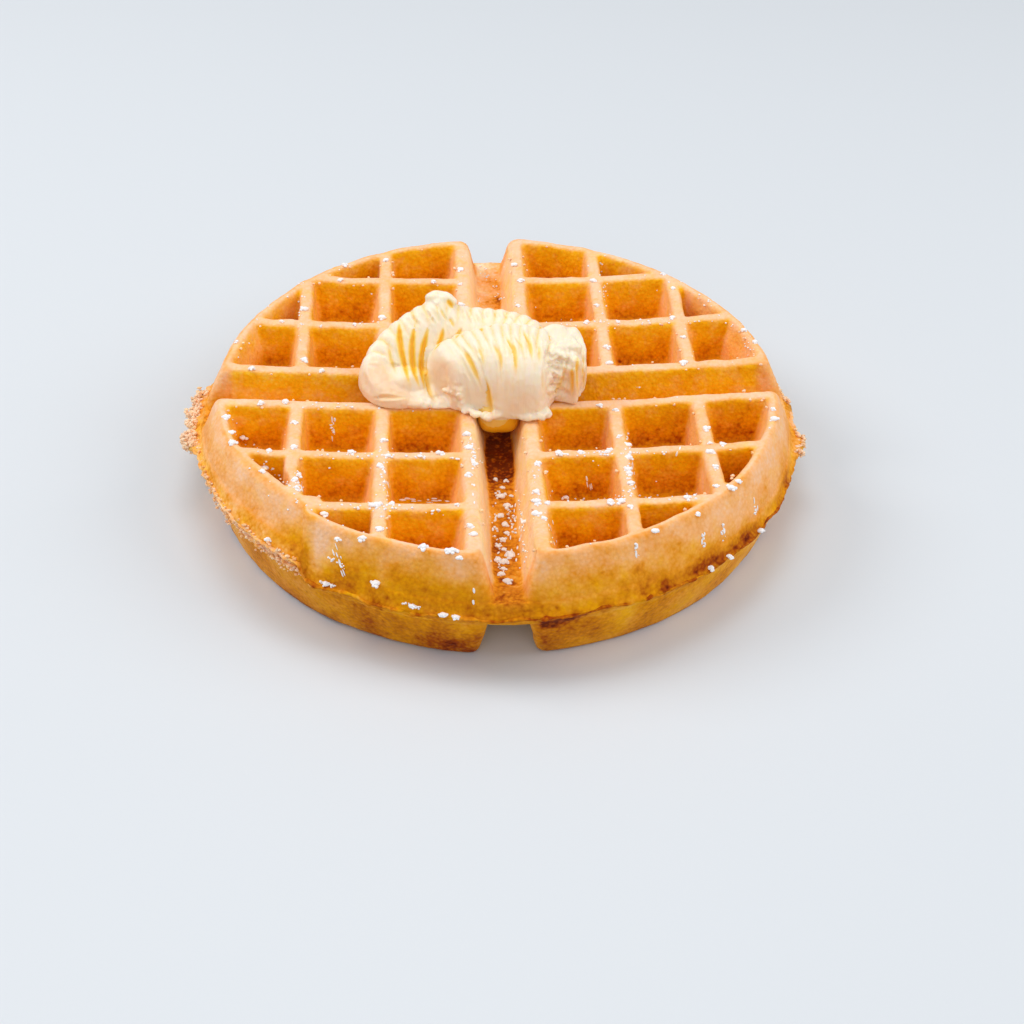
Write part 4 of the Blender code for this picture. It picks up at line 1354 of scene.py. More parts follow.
def curl(stations, flutes, flute_depth, smooth, slant):
    """A curl of butter: half an oval section swept along a curve, with flutes across it.

    The first flutes are smooth ones. slant leans the flutes along the curl on its right-hand
    side, most at the start. The groove layer says how deep in a flute a point lies.
    """
    columns = flutes * FLUTE_POINTS
    mesh = bmesh.new()
    layer = mesh.verts.layers.float.new("groove")
    rows = []
    for column, at in enumerate(even_places(stations, columns)):
        x, y, height, right, left, right_fullness = spline(stations, at)
        sideways = to_the_right(stations, at)
        count = column / FLUTE_POINTS
        fluted = ease((count - smooth) / FLUTES_FADE) * ease((flutes - count) / FLUTES_FADE)
        end = clamp(min(column, columns - column) / (CURL_END * FLUTE_POINTS))
        closing = CURL_TIP + (1.0 - CURL_TIP) * math.sqrt(1.0 - (1.0 - end) ** 2)
        row = []
        for ring in range(CURL_RINGS + 1):
            angle = math.pi * ring / CURL_RINGS
            across = math.cos(angle)
            up = math.sin(angle)
            cut = fluted * flute_cut(count, flutes, slant, angle)
            groove = flute_depth * cut
            reach, fullness = (right, right_fullness) if across > 0.0 else (left, LEFT_FULLNESS)
            out = math.copysign(abs(across) ** fullness, across) * reach * closing - groove * across
            rise = abs(up) ** fullness * height * closing - groove * up
            spot = Vector((x, y)) + sideways * out
            vert = mesh.verts.new((spot.x, spot.y, BUTTER_BASE + max(rise, 0.0)))
            uneven = clamp(0.5 + 0.9 * noise.noise(Vector((count * 0.7, angle * 0.8, 2.0 * flutes))))
            vert[layer] = cut * (1.0 - ease(-across / BEHIND) * (1.0 - 0.5 * uneven))
            row.append(vert)
        rows.append(row)
    for row, following in zip(rows, rows[1:]):
        bridge(mesh, row, following)
    mesh.faces.new(rows[0])
    mesh.faces.new(rows[-1])
    bmesh.ops.triangulate(mesh, faces=mesh.faces[:])
    bmesh.ops.recalc_face_normals(mesh, faces=mesh.faces[:])
    return mesh


def blob(centre, size, boxiness, roughness, fineness, divisions):
    """A rough lump of butter, between an oval and a box."""
    mesh = bmesh.new()
    mesh.verts.layers.float.new("groove")
    bmesh.ops.create_icosphere(mesh, subdivisions=divisions, radius=1.0)
    for vert in mesh.verts:
        out = 1.0 + roughness * noise.noise(vert.co * fineness + Vector(centre))
        squared = [math.copysign(abs(c) ** boxiness, c) * out for c in vert.co]
        vert.co = Vector(centre) + Vector([c * s for c, s in zip(squared, size)])
    return mesh


def sag():
    """What sinks into the front channel, with a low top that the front curl covers."""
    mesh = blob(SAG_AT, SAG_SIZE, SAG_BOXINESS, 0.0, 1.0, 5)
    layer = mesh.verts.layers.float["groove"]
    for vert in mesh.verts:
        lower = vert.co.z if vert.co.z < 0.0 else SAG_TOP * vert.co.z
        vert.co.z = BUTTER_BASE + lower
        vert[layer] = SAG_YELLOW
    return mesh


def lip():
    """The ragged edge that overhangs the front, as a row of small uneven lumps."""
    draw = random.Random(LIP_SEED)
    pieces = []
    for (x, y), (next_x, next_y) in zip(LIP, LIP[1:]):
        steps = max(1, round(math.hypot(next_x - x, next_y - y) / (LIP_SPACING * LIP_SIZE)))
        for step in range(steps):
            t = step / steps
            size = LIP_SIZE * draw.uniform(0.75, 1.25)
            at = (x + (next_x - x) * t + draw.uniform(-0.3, 0.3),
                  y + (next_y - y) * t + draw.uniform(-0.4, 0.3),
                  BUTTER_BASE + draw.uniform(0.7, 1.3))
            pieces.append(blob(at, (size, size, 0.9 * size), 1.0, 0.5, 1.3, 3))
    return pieces


def butter_pieces():
    """The closed forms that the butter is joined from, with those that are cut off flat last."""
    above = Vector((0.0, 0.0, BUTTER_BASE))
    whole = [curl(BACK_CURL, BACK_FLUTES, BACK_FLUTE_DEPTH, BACK_SMOOTH, 0.0),
             curl(FRONT_CURL, FRONT_FLUTES, FRONT_FLUTE_DEPTH, FRONT_SMOOTH, FRONT_SLANT),
             sag()]
    cut = [blob(Vector(at) + above, *form) for at, *form in BUTTER_LUMPS]
    cut += [blob(Vector(at) + above, (size, size, size), 1.0, 0.5, 1.5, 3) for *at, size in PEAKS]
    cut += lip()
    for mesh in cut:
        for vert in mesh.verts:
            vert.co.z = max(vert.co.z, BUTTER_BASE)
    return whole + cut


def along_pixels(pixels, t):
    """A place on the line through some pixels, with t from 0 to 1."""
    if len(pixels) > 2:
        return spline(pixels, t * (len(pixels) - 1))
    return [a + (b - a) * t for a, b in zip(*pixels)]


def knife_marks(tree):
    """The knife's lines as points on the butter: (spot, normal, depth, half width, yellowness)."""
    marks = []
    for pixels, depth, width, yellow in KNIFE_LINES:
        count = KNIFE_STEPS * (len(pixels) - 1)
        for i in range(count + 1):
            t = i / count
            found = seen_at(tree, along_pixels(pixels, t))
            if found is not None:
                fade = ease(t / 0.35) * ease((1.0 - t) / 0.45)
                half = KNIFE_WIDTH * width * (0.5 + 0.5 * fade)
                marks.append((*found, KNIFE_DEPTH * depth * fade, half, KNIFE_STAIN * yellow * fade))
    return marks


def knife_cut(away, depth, width):
    """How far a knife mark pushes the butter in: a narrow core, a wide shoulder and a raised rim."""
    core = bell(away, width)
    shoulder = bell(away, KNIFE_SHOULDER)
    rim = KNIFE_RIM * bell(away - 2.0 * width, 0.9 * width)
    return depth * ((1.0 - KNIFE_SHOULDER_SHARE) * core + KNIFE_SHOULDER_SHARE * shoulder - rim)


def tear(vert, torn):
    """How far a point moves where the butter is torn."""
    move = Vector()
    for centre, reach, rough in torn:
        share = ease(1.4 - (vert.co - centre).length / reach)
        if share > 0.0:
            jag = 1.2 * noise.noise(vert.co / 2.2) + 0.5 * noise.noise(vert.co / 0.9)
            move += vert.normal * rough * share * (0.3 + jag)
    return move


def carve(mesh):
    """Cuts the knife's lines into the butter and roughens it where it is torn."""
    layer = mesh.verts.layers.float["groove"]
    tree = BVHTree.FromBMesh(mesh)
    marks = knife_marks(tree)
    near = spot_tree([mark[0] for mark in marks])
    torn = seen_places(tree, TORN)
    moves = []
    for vert in mesh.verts:
        move = tear(vert, torn)
        _, index, away = near.find(vert.co)
        _, normal, depth, width, yellow = marks[index]
        if away < KNIFE_REACH * KNIFE_SHOULDER:
            move -= normal * knife_cut(away, depth, width)
            stain = 0.72 * bell(away, 1.2 * width) + 0.28 * bell(away, KNIFE_SHOULDER)
            vert[layer] = max(YELLOW_LEFT * vert[layer], yellow * stain)
        moves.append(move)
    for vert, move in zip(mesh.verts, moves):
        vert.co += move


def paint_butter_shade(mesh, layer):
    """Painted shade on the butter, warmer in tone: the smooth places that lie in shade and what looks down or
    to the front.
    """
    spots = seen_places(BVHTree.FromBMesh(mesh), PAINTED_SHADE_PLACES)
    for vert in mesh.verts:
        tone = 0.35 * ease((0.55 - vert.normal.z) / 0.9)
        for spot, reach, amount in spots:
            away = (vert.co - spot).length / reach
            if away < 2.0:
                tone = max(tone, amount * ease(1.6 - 1.2 * away))
        vert[layer] = clamp(tone + 0.2 * noise.noise(vert.co / 4.0))


# How often the joined butter is smoothed, and its fine unevenness
BUTTER_SMOOTHINGS = 3
BUTTER_UNEVEN = 0.10
BUTTER_GRAIN = 1.4


def make_butter():
    whole = bmesh.new()
    grooves = []
    for mesh in butter_pieces():
        layer = mesh.verts.layers.float["groove"]
        grooves += [(vert.co.copy(), vert[layer]) for vert in mesh.verts]
        data = bpy.data.meshes.new("butter part")
        mesh.to_mesh(data)
        mesh.free()
        whole.from_mesh(data)
        bpy.data.meshes.remove(data)
    tree = spot_tree([spot for spot, _ in grooves])
    merged = remeshed(whole, BUTTER_VOXEL)
    layer = merged.verts.layers.float.new("groove")
    painted_shade = merged.verts.layers.float.new("painted_shade")
    for vert in merged.verts:
        vert[layer] = grooves[tree.find(vert.co)[1]][1]
    for _ in range(BUTTER_SMOOTHINGS):
        bmesh.ops.smooth_vert(merged, verts=merged.verts[:], factor=0.5,
                              use_axis_x=True, use_axis_y=True, use_axis_z=True)
    for vert in merged.verts:
        vert.co = bend(vert.co)
    merged.normal_update()
    paint_butter_shade(merged, painted_shade)
    carve(merged)
    merged.normal_update()
    for vert in merged.verts:
        vert.co += vert.normal * BUTTER_UNEVEN * noise.noise(vert.co / BUTTER_GRAIN)
    item = placed("butter_scoop", merged, butter_material())
    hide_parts("butter")


def remeshed(mesh, voxel):
    """One skin round everything in a mesh, on a grid of the given size."""
    data = bpy.data.meshes.new("to join")
    mesh.to_mesh(data)
    mesh.free()
    item = new_object("to join", data)
    modifier = item.modifiers.new("skin", "REMESH")
    modifier.mode = "VOXEL"
    modifier.voxel_size = voxel
    bpy.context.view_layer.update()
    graph = bpy.context.evaluated_depsgraph_get()
    skin = bmesh.new()
    skin.from_mesh(item.evaluated_get(graph).to_mesh())
    bpy.data.objects.remove(item, do_unlink=True)
    bpy.data.meshes.remove(data)
    return skin


def make_waffle(crust):
    """The crust. Returns a tree of its surface, for what lies on it."""
    shell = waffle_shell()
    paint_crust(shell)
    roughen(shell)
    for vert in shell.mesh.verts:
        vert.co = bend(vert.co)
    tree = BVHTree.FromBMesh(shell.mesh)
    brown_and_shade(shell.mesh, tree)
    item = placed("waffle_crust", shell.mesh, crust)
    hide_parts("waffle")
    return tree


# The thin ragged edge of batter along the parting line, and crumbs of it

FLASH_STEP = 0.45
FLASH_ROOT = 1.2
FLASH_FURTHEST = 1.4
FLASH_BROWNEST = 0.86
FLASH_TIP = 0.08
FLASH_TAPERS = 8.0
# Where the edge is singed, with painted shade in the band under its step: direction and width in degrees, and
# how much browner
SINGED_AND_SHADED = ((-80.0, 6.0, 0.45), (-40.0, 15.0, 0.34))
# From and to in degrees, height over the parting line, how far out, and where its noise starts
FLASHES = ((-180.0, 180.0, 0.0, 0.9, 0.0),
           (-176.0, -127.0, -0.8, 1.0, 4.5),
           (-176.0, -127.0, -1.6, 1.1, 5.5),
           (-176.0, -127.0, -2.5, 0.9, 4.0),
           (-120.0, -98.0, -1.5, 0.3, 14.0))


def paint(mesh, verts, tone):
    """Gives points one tone of the crust: brown, peach and grainy."""
    for name, value in zip(CRUST_LAYERS, tone):
        layer = mesh.verts.layers.float[name]
        for vert in verts:
            vert[layer] = value


def flash_tone(angle, direction, height, rough):
    """The flash's tone: toasted and singed along the front, with painted shade in its dark bands, and paler
    below the parting line.
    """
    toasted = toasting(math.degrees(angle))
    browner = 0.36 * toasted
    for band_at, width, amount in SINGED_AND_SHADED:
        browner += amount * bell(math.degrees(angle) - band_at, width)
    paler = 0.14 if height < 0.0 else 0.0
    brown = 0.36 + browner - paler + 0.3 * rough + 0.25 * noise.noise(direction * 12.0)
    return clamp(brown, 0.0, FLASH_BROWNEST), 0.8 - browner - 0.35 * toasted + paler, 0.7 - 0.2 * toasted


def flash_section(mesh, angle, height, out, shift):
    """The flash's outline in one direction: over its root, round its thin tip and back below."""
    direction = direction_at(angle, shift)
    rough = noise.noise(direction * 30.0) + 0.5 * noise.noise(direction * 75.0)
    rough += 0.1 * noise.noise(direction * 170.0)
    wall = wall_reach(height)
    if height == 0.0:
        wall += min(0.8 * fin_reach(angle), FLASH_FURTHEST)
    thin = 1.0 - 0.45 * ease(direction.x * 2.5) * ease(-direction.y * 3.0)
    tip = wall + thin * out * clamp(0.5 + 0.9 * rough, -0.4, 1.4)
    middle = PARTING + fin_wave(direction_at(angle)) + height + 0.35 * noise.noise(direction * 22.0)
    thick = 0.35 + 0.15 * rough
    droop = 0.4 * noise.noise(direction * 45.0)
    upper = ((wall - FLASH_ROOT, thick), (0.4 * wall + 0.6 * tip, 0.6 * thick), (tip, FLASH_TIP))
    lower = [(reach, -rise) for reach, rise in reversed(upper)]
    row = []
    for reach, rise in (*upper, *lower):
        lowered = middle + rise + droop * clamp(reach - wall)
        row.append(mesh.verts.new(bend((reach * math.cos(angle), reach * math.sin(angle), lowered))))
    paint(mesh, row, flash_tone(angle, direction, height, rough))
    return row


def flash(mesh, start, finish, height, out, shift):
    """One thin ragged fin along the parting line, from one direction to another."""
    full = finish - start >= 360.0
    steps = int(math.radians(finish - start) * RIM_PARTING / FLASH_STEP)
    rows = []
    for step in range(steps if full else steps + 1):
        t = step / steps
        angle = math.radians(start + (finish - start) * t)
        taper = 1.0 if full else ease(min(t, 1.0 - t) * FLASH_TAPERS)
        rows.append(flash_section(mesh, angle, height, taper * out, shift))
    for first, second in zip(rows, rows[1:]):
        bridge(mesh, first, second)
    if full:
        bridge(mesh, rows[-1], rows[0])
    else:
        mesh.faces.new(rows[0])
        mesh.faces.new(rows[-1][::-1])


def ball(divisions):
    """The points and the faces of a ball of radius one."""
    mesh = bmesh.new()
    bmesh.ops.create_icosphere(mesh, subdivisions=divisions, radius=1.0)
    mesh.verts.index_update()
    spots = [vert.co.copy() for vert in mesh.verts]
    faces = [[vert.index for vert in face.verts] for face in mesh.faces]
    mesh.free()
    return spots, faces


BALLS = {divisions: ball(divisions) for divisions in (1, 2, 3)}


def add_ball(mesh, divisions, matrix):
    """A ball, moved and stretched by a matrix, added to a mesh. Returns its points."""
    spots, faces = BALLS[divisions]
    verts = [mesh.verts.new(matrix @ spot) for spot in spots]
    for face in faces:
        mesh.faces.new([verts[index] for index in face])
    return verts


def lump(mesh, spot, size, draw, divisions=2, ragged=0.3):
    """An uneven grain about a spot, with its size in three directions. Returns its points."""
    turn = Matrix.Rotation(draw.uniform(0.0, math.tau), 4, "Z")
    tilt = Matrix.Rotation(draw.uniform(0.0, 1.0), 4, "X")
    made = add_ball(mesh, divisions, Matrix.Diagonal((*size, 1.0)) @ turn @ tilt)
    shift = Vector((draw.uniform(0.0, 50.0), 0.0, 0.0))
    for vert in made:
        out = 1.0 + ragged * noise.noise(vert.co * (1.5 / max(size)) + shift)
        vert.co = Vector(spot) + vert.co * out
    return made


# Crumbs of batter that cling to the parting line: from and to in degrees, how many, how far out at most
CRUMB_SEED = 23
CRUMB_PLACES = ((178.0, 188.5, 620, 96.6), (168.5, 177.5, 320, 94.0), (348.0, 356.0, 70, 92.2),
                (4.0, 11.0, 60, 92.2))
CRUMB_ROOTS = 60
CRUMB_ROOT_SIZE = 0.5
CRUMB_SPREAD = 1.8
CRUMB_OUTWARD = 0.72
CRUMB_OVERLAP = 0.8
CRUMB_RAGGED = 0.6
CRUMB_GRAINY = 0.3
LEDGE_CRUMBS = 300
# Nibs along the edges of the ribs: how far out, how deep, and how near an edge, inwards and outwards
NIBS = 130
NIB_SEED = 31
NIBS_REACH = 80.0
NIB_SUNK = 0.4
NIB_OUTSIDE = -0.8
NIB_INSIDE = 0.2


def crumb(mesh, spot, size, draw, brown, peach):
    """One crumb of batter."""
    wide = size * draw.uniform(0.9, 1.3)
    made = lump(mesh, spot, (wide, size, size * draw.uniform(0.7, 1.0)), draw, 2, CRUMB_RAGGED)
    paint(mesh, made, (brown, peach, CRUMB_GRAINY))


def crumb_clusters(mesh):
    """Lacy crumbs where batter crept out between the plates, each stuck to one made before it."""
    draw = random.Random(CRUMB_SEED)
    for start, finish, count, furthest in CRUMB_PLACES:
        outward = direction_at(math.radians(0.5 * (start + finish)))
        stuck = []
        for _ in range(CRUMB_ROOTS):
            angle = math.radians(draw.uniform(start, finish))
            reach = RIM_PARTING + fin_reach(angle) * draw.uniform(0.2, 1.0)
            stuck.append((polar(reach, angle, PARTING), CRUMB_ROOT_SIZE))
        made = 0
        while made < count:
            base, base_size = draw.choice(stuck)
            size = draw.uniform(0.25, 0.6)
            way = Vector([draw.gauss(0.0, 1.0) for _ in range(3)]).normalized() + CRUMB_OUTWARD * outward
            spot = base + way.normalized() * CRUMB_OVERLAP * (base_size + size)
            turned = math.degrees(math.atan2(spot.y, spot.x)) % 360.0
            inside = start < turned < finish and abs(spot.z - PARTING) < CRUMB_SPREAD
            if inside and RIM_PARTING < math.hypot(spot.x, spot.y) < furthest:
                stuck.append((spot, size))
                crumb(mesh, bend(spot), size, draw, draw.uniform(0.0, 0.16), 1.0)
                made += 1


def ledge_crumbs(mesh):
    """Coarse crumbs on the double edge at the front left."""
    draw = random.Random(CRUMB_SEED + 1)
    for _ in range(LEDGE_CRUMBS):
        angle = math.radians(draw.uniform(LEDGE_FROM, LEDGE_TO - 1.0))
        height = PARTING + draw.uniform(-3.0, 0.9)
        reach = RIM_PARTING + draw.uniform(-0.1, 0.7)
        spot = bend((reach * math.cos(angle), reach * math.sin(angle), height))
        crumb(mesh, spot, draw.uniform(0.2, 0.5), draw, draw.uniform(0.05, 0.45), 0.9)


def nibs(mesh):
    """Small crumbs that stick to the edges of the ribs."""
    draw = random.Random(NIB_SEED)
    made = 0
    while made < NIBS:
        x = draw.uniform(-RIM_TOP, RIM_TOP)
        y = draw.uniform(-RIM_TOP, RIM_TOP)
        on_edge = on_land(x, y, NIB_OUTSIDE) and not on_land(x, y, NIB_INSIDE)
        if on_edge and math.hypot(x, y) < NIBS_REACH and not under_butter(x, y):
            spot = bend((x, y, TOP - NIB_SUNK))
            crumb(mesh, spot, draw.uniform(0.25, 0.5), draw, draw.uniform(0.0, 0.25), 1.0)
            made += 1


def make_flash(crust):
    mesh = bmesh.new()
    for name in CRUST_LAYERS:
        mesh.verts.layers.float.new(name)
    for run in FLASHES:
        flash(mesh, *run)
    crumb_clusters(mesh)
    ledge_crumbs(mesh)
    nibs(mesh)
    bmesh.ops.recalc_face_normals(mesh, faces=mesh.faces[:])
    placed("waffle_flash", mesh, crust)


# Sugar

def on_land(x, y, margin):
    """Whether a spot lies on the top of a rib or the rim, a margin away from every edge."""
    x = abs(x)
    y = abs(y)
    reach = math.hypot(x, y)
    if min(x, y) < CHANNEL_HALF + margin or reach > RIM_TOP - margin:
        return False
    if reach > RIM_TOP - RIM_LAND + margin:
        return True
    across = (x - FIRST_POCKET) % PITCH
    along = (y - FIRST_POCKET) % PITCH
    x_on_rib = across > POCKET + margin and across < PITCH - margin or x < FIRST_POCKET - margin
    y_on_rib = along > POCKET + margin and along < PITCH - margin or y < FIRST_POCKET - margin
    return x_on_rib or y_on_rib


def under_butter(x, y):
    """Whether a spot is too near the butter, which lies in an oval."""
    across = (x - BUTTER_MIDDLE[0]) / (BUTTER_SPREAD[0] + BUTTER_CLEAR)
    along = (y - BUTTER_MIDDLE[1]) / (BUTTER_SPREAD[1] + BUTTER_CLEAR)
    return across * across + along * along < 1.0


def sugar_spots():
    """Places for the sugar that the solid has, as (x, y, height, size)."""
    draw = random.Random(SUGAR_SEED)
    spots = []

    def free(x, y, spacing):
        return all(math.hypot(x - spot[0], y - spot[1]) > spacing for spot in spots)

    wanted = SUGAR_ON_RIBS + SUGAR_IN_FRONT_CHANNEL
    while len(spots) < SUGAR_ON_RIBS:
        x = draw.uniform(-RIM_TOP, RIM_TOP)
        y = draw.uniform(-RIM_TOP, RIM_TOP)
        if on_land(x, y, SUGAR_FROM_EDGE) and not under_butter(x, y) and free(x, y, SUGAR_SPACING):
            spots.append((x, y, TOP))
    while len(spots) < wanted:
        x = draw.uniform(-CHANNEL_SUGAR_HALF, CHANNEL_SUGAR_HALF)
        y = draw.uniform(CHANNEL_SUGAR_FROM, CHANNEL_SUGAR_TO)
        if free(x, y, CHANNEL_SUGAR_SPACING):
            spots.append((x, y, TOP_FLOOR))
    shrink = (SUGAR_LARGEST - SUGAR_SMALLEST) / wanted
    return [(x, y, z, SUGAR_LARGEST - shrink * draw.uniform(0, wanted)) for x, y, z in spots]


# Lumps of sugar that stand out in the photograph, by their pixels
SUGAR_SEEN = (
    (225, 418), (231, 433), (243, 438), (265, 467), (297, 475), (297, 487), (324, 514), (338, 538),
    (362, 538), (377, 505), (379, 529), (423, 547), (448, 551), (459, 557), (377, 582), (413, 606),
    (444, 615), (455, 617), (326, 584), (268, 539), (467, 435), (469, 448), (474, 463), (468, 475),
    (471, 527), (388, 456), (380, 466), (420, 456), (441, 454), (392, 504), (270, 451), (600, 406),
    (616, 410), (619, 436), (627, 446), (581, 453), (608, 452), (628, 458), (630, 473), (537, 492),
    (537, 502), (536, 513), (544, 519), (566, 498), (621, 501), (630, 507), (687, 498), (698, 513),
    (710, 452), (722, 445), (774, 419), (716, 486), (731, 488), (738, 482), (654, 531), (728, 557),
    (711, 568), (761, 530), (498, 547), (497, 561), (511, 554), (525, 522), (502, 574))
# Streaks of fine sugar: a pixel at each end, how many grains and how far they stray
SUGAR_STREAKS = (
    ((493, 492), (513, 496), 16, 1.5), ((508, 505), (515, 535), 26, 2.5), ((494, 520), (502, 575), 30, 3.0),
    ((520, 500), (526, 560), 22, 2.0), ((330, 555), (345, 570), 12, 3.0), ((332, 425), (334, 437), 10, 1.5),
    ((702, 530), (704, 547), 8, 1.5), ((722, 524), (724, 542), 8, 1.5), ((754, 500), (755, 514), 8, 1.5),
    ((636, 544), (637, 556), 8, 1.5), ((320, 580), (336, 588), 16, 2.5), ((404, 603), (420, 608), 12, 2.0),
    ((440, 612), (458, 618), 12, 1.5), ((468, 430), (476, 470), 20, 3.0), ((296, 472), (300, 492), 14, 3.0),
    ((382, 440), (386, 530), 30, 4.0), ((626, 430), (632, 500), 26, 4.0), ((535, 470), (540, 520), 20, 3.0),
    ((230, 425), (300, 500), 24, 5.0), ((320, 455), (460, 458), 30, 3.0), ((550, 455), (680, 452), 30, 3.0),
    ((320, 505), (450, 512), 26, 3.0), ((560, 500), (700, 496), 26, 3.0), ((300, 405), (440, 410), 20, 2.5),
    ((480, 265), (500, 300), 22, 5.0), ((300, 280), (300, 330), 16, 4.0), ((600, 260), (610, 330), 20, 4.0),
    ((320, 325), (380, 322), 14, 2.0), ((560, 322), (720, 322), 30, 3.0), ((700, 290), (760, 360), 20, 5.0))
# Smears and hairs of sugar along a line: a pixel at each end and how many
SUGAR_SMEARS = (
    ((334, 548), (344, 574), 9), ((702, 528), (704, 548), 4), ((722, 524), (724, 542), 4),
    ((754, 498), (755, 514), 4), ((636, 544), (637, 557), 3), ((332, 418), (334, 440), 5),
    ((402, 499), (450, 501), 12), ((384, 470), (390, 500), 6), ((471, 440), (474, 500), 8),
    ((515, 500), (511, 560), 10), ((523, 508), (518, 566), 10), ((497, 494), (494, 530), 6),
    ((549, 520), (556, 548), 5), ((630, 452), (634, 490), 6), ((586, 472), (590, 490), 4),
    ((300, 478), (306, 498), 4), ((680, 440), (676, 456), 3), ((560, 455), (600, 452), 6),
    ((472, 590), (474, 604), 2))
GRAIN_SEED = 41
DUST = 260
# How far a smear's grains stray and how long they are, in pixels, and how far along the surface at most
SMEAR_STRAY = 1.5
SMEAR_LENGTH = 3.0
SMEAR_FURTHEST = 2.5
SMEAR_RAISED = 0.06
# How far a lump and a fine grain stand out of the surface, by their size
LUMP_RAISED = 0.15
GRAIN_RAISED = 0.2
GRAIN_HEIGHT = 0.7
# Where rays from above start: over the spots that the solid's sugar has, and over the whole waffle
LOOK_FROM = 6.0
DUST_FROM = 80.0
DOWN = Vector((0.0, 0.0, -1.0))


def cluster(mesh, spot, size, draw):
    """A soft lump of sugar: a flat middle with smaller grains stuck round it."""
    lump(mesh, spot, (size * draw.uniform(0.75, 1.0), size * draw.uniform(0.6, 0.85), 0.5 * size), draw, 3)
    for _ in range(draw.choice((3, 4, 5, 6))):
        angle = draw.uniform(0.0, math.tau)
        part = size * draw.uniform(0.25, 0.5)
        away = size * draw.uniform(0.6, 1.05)
        at = spot + Vector((away * math.cos(angle), away * math.sin(angle), -0.15 * size))
        lump(mesh, at, (part, part, 0.7 * part), draw, 2)


def pixel_near(first, last, stray, draw):
    """A random pixel near the line between two others."""
    t = draw.random()
    return [a + (b - a) * t + draw.gauss(0.0, stray) for a, b in zip(first, last)]


def smear(mesh, tree, first, last, draw):
    """A thin streak of sugar dust near a line of the photograph."""
    run = Vector((last[0] - first[0], last[1] - first[1])).normalized() * SMEAR_LENGTH
    pixel = pixel_near(first, last, SMEAR_STRAY, draw)
    found = seen_at(tree, pixel)
    further = seen_at(tree, (pixel[0] + run.x, pixel[1] + run.y))
    if found is None or further is None or (further[0] - found[0]).length > SMEAR_FURTHEST:
        return
    along = (further[0] - found[0]).normalized()
    across = found[1].cross(along).normalized()
    turned = Matrix((along, across, found[1])).transposed().to_4x4()
    turned.translation = found[0] + found[1] * SMEAR_RAISED
    size = (draw.uniform(0.4, 1.1), draw.uniform(0.16, 0.34), draw.uniform(0.08, 0.13))
    add_ball(mesh, 2, turned @ Matrix.Diagonal((*size, 1.0)))


def fine_grain(mesh, spot, normal, size, draw):
    lump(mesh, spot + normal * GRAIN_RAISED * size, (size, size, GRAIN_HEIGHT * size), draw, 1)


def solid_sugar(mesh, tree, draw):
    """The lumps that the solid has."""
    for x, y, z, size in sugar_spots():
        spot = bend((x, y, z))
        found = tree.ray_cast(spot + Vector((0.0, 0.0, LOOK_FROM)), DOWN)[0]
        raised = Vector((0.0, 0.0, SUGAR_SUNK * size))
        cluster(mesh, (spot if found is None else found) + raised, size, draw)


def seen_sugar(mesh, tree, draw):
    """The lumps, the streaks and the smears that the photograph shows."""
    for x, y in SUGAR_SEEN:
        spot, normal = seen_at(tree, (x + draw.uniform(-0.7, 0.7), y + draw.uniform(-0.7, 0.7)))
        size = draw.uniform(0.8, 1.35)
        cluster(mesh, spot + normal * LUMP_RAISED * size, size, draw)
    for first, last, count, stray in SUGAR_STREAKS:
        for _ in range(count):
            found = seen_at(tree, pixel_near(first, last, 0.5 * stray, draw))
            if found is not None:
                fine_grain(mesh, *found, draw.uniform(0.18, 0.5), draw)
    for first, last, count in SUGAR_SMEARS:
        for _ in range(count):
            smear(mesh, tree, first, last, draw)


def sugar_dust(mesh, tree, draw):
    """Fine grains all over the top."""
    for _ in range(DUST):
        angle = draw.uniform(0.0, math.tau)
        over = polar(RIM_TOP * math.sqrt(draw.random()), angle, DUST_FROM)
        if not under_butter(over.x, over.y):
            spot, normal, _, _ = tree.ray_cast(over, DOWN)
            fine_grain(mesh, spot, normal, draw.uniform(0.16, 0.4), draw)


def make_sugar(tree):
    mesh = bmesh.new()
    draw = random.Random(GRAIN_SEED)
    solid_sugar(mesh, tree, draw)
    seen_sugar(mesh, tree, draw)
    sugar_dust(mesh, tree, draw)
    placed("sugar_grains", mesh, sugar_material())


# Camera, light and floor, in metres

CLIP_FROM = 0.01
LIT_POINT = Vector((0.0, 0.0, 0.02))
LIGHT_COLOUR = (1.0, 0.99, 0.98)
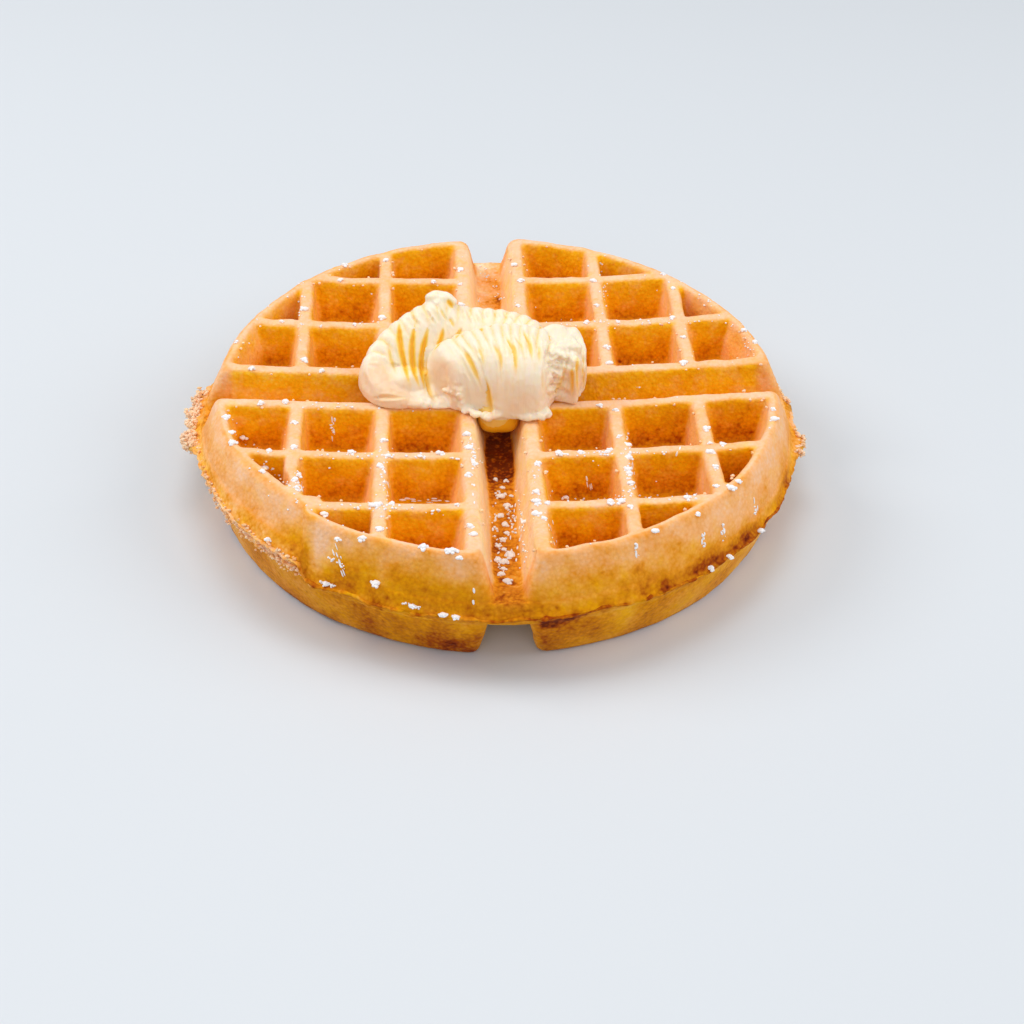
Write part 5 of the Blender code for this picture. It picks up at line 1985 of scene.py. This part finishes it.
# Each light: where it stands, its size and its power in watts
LIGHTS = {"key": ((-0.85, 0.25, 0.8), 0.6, 5.4),
          "above": ((-0.05, 0.35, 1.15), 0.7, 4.0),
          "front": ((-0.05, -0.95, 0.8), 0.8, 2.8),
          "right": ((0.9, -0.1, 0.7), 0.8, 4.4)}
FLOOR_REACH = 12.0
FLOOR_LEVEL = -0.0004
FLOOR_COLOUR = (214, 219, 224)
FLOOR_ROUGHNESS = 0.5
SURROUND_COLOUR = (0.93, 0.96, 1.0, 1.0)
SURROUND_STRENGTH = 0.42


def make_camera():
    right, up, back = camera_axes()
    data = bpy.data.cameras.new("camera")
    data.sensor_width = SENSOR
    data.lens = FOCAL_PIXELS / PHOTO_SIZE * SENSOR
    data.clip_start = CLIP_FROM
    item = new_object("camera", data)
    turned = Matrix((right, up, back)).transposed().to_4x4()
    turned.translation = (LOOKS_AT + back * DISTANCE) * MM
    item.matrix_world = turned
    bpy.context.scene.camera = item


def make_lights():
    """A soft key light from the upper left, three fills and a pale surround."""
    for name, (at, size, power) in LIGHTS.items():
        data = bpy.data.lights.new(name, "AREA")
        data.shape = "DISK"
        data.size = size
        data.energy = power
        data.color = LIGHT_COLOUR
        item = new_object(name, data)
        item.location = at
        item.rotation_euler = (LIT_POINT - Vector(at)).to_track_quat("-Z", "Y").to_euler()
    world = bpy.data.worlds.new("surround")
    bpy.context.scene.world = world
    world.use_nodes = True
    sky = world.node_tree.nodes["Background"]
    sky.inputs["Color"].default_value = SURROUND_COLOUR
    sky.inputs["Strength"].default_value = SURROUND_STRENGTH


def make_floor():
    mesh = bmesh.new()
    bmesh.ops.create_grid(mesh, x_segments=1, y_segments=1, size=FLOOR_REACH)
    data = bpy.data.meshes.new("floor")
    mesh.to_mesh(data)
    mesh.free()
    finish = Finish("floor")
    finish.set(Base_Color=linear(*FLOOR_COLOUR), Roughness=FLOOR_ROUGHNESS)
    data.materials.append(finish.material)
    floor = new_object("floor", data)
    floor.location.z = FLOOR_LEVEL


bpy.context.scene.view_settings.view_transform = "Standard"
make_camera()
make_floor()
make_lights()
CRUST = crust_material()
SURFACE = make_waffle(CRUST)
make_flash(CRUST)
make_sugar(SURFACE)
make_butter()
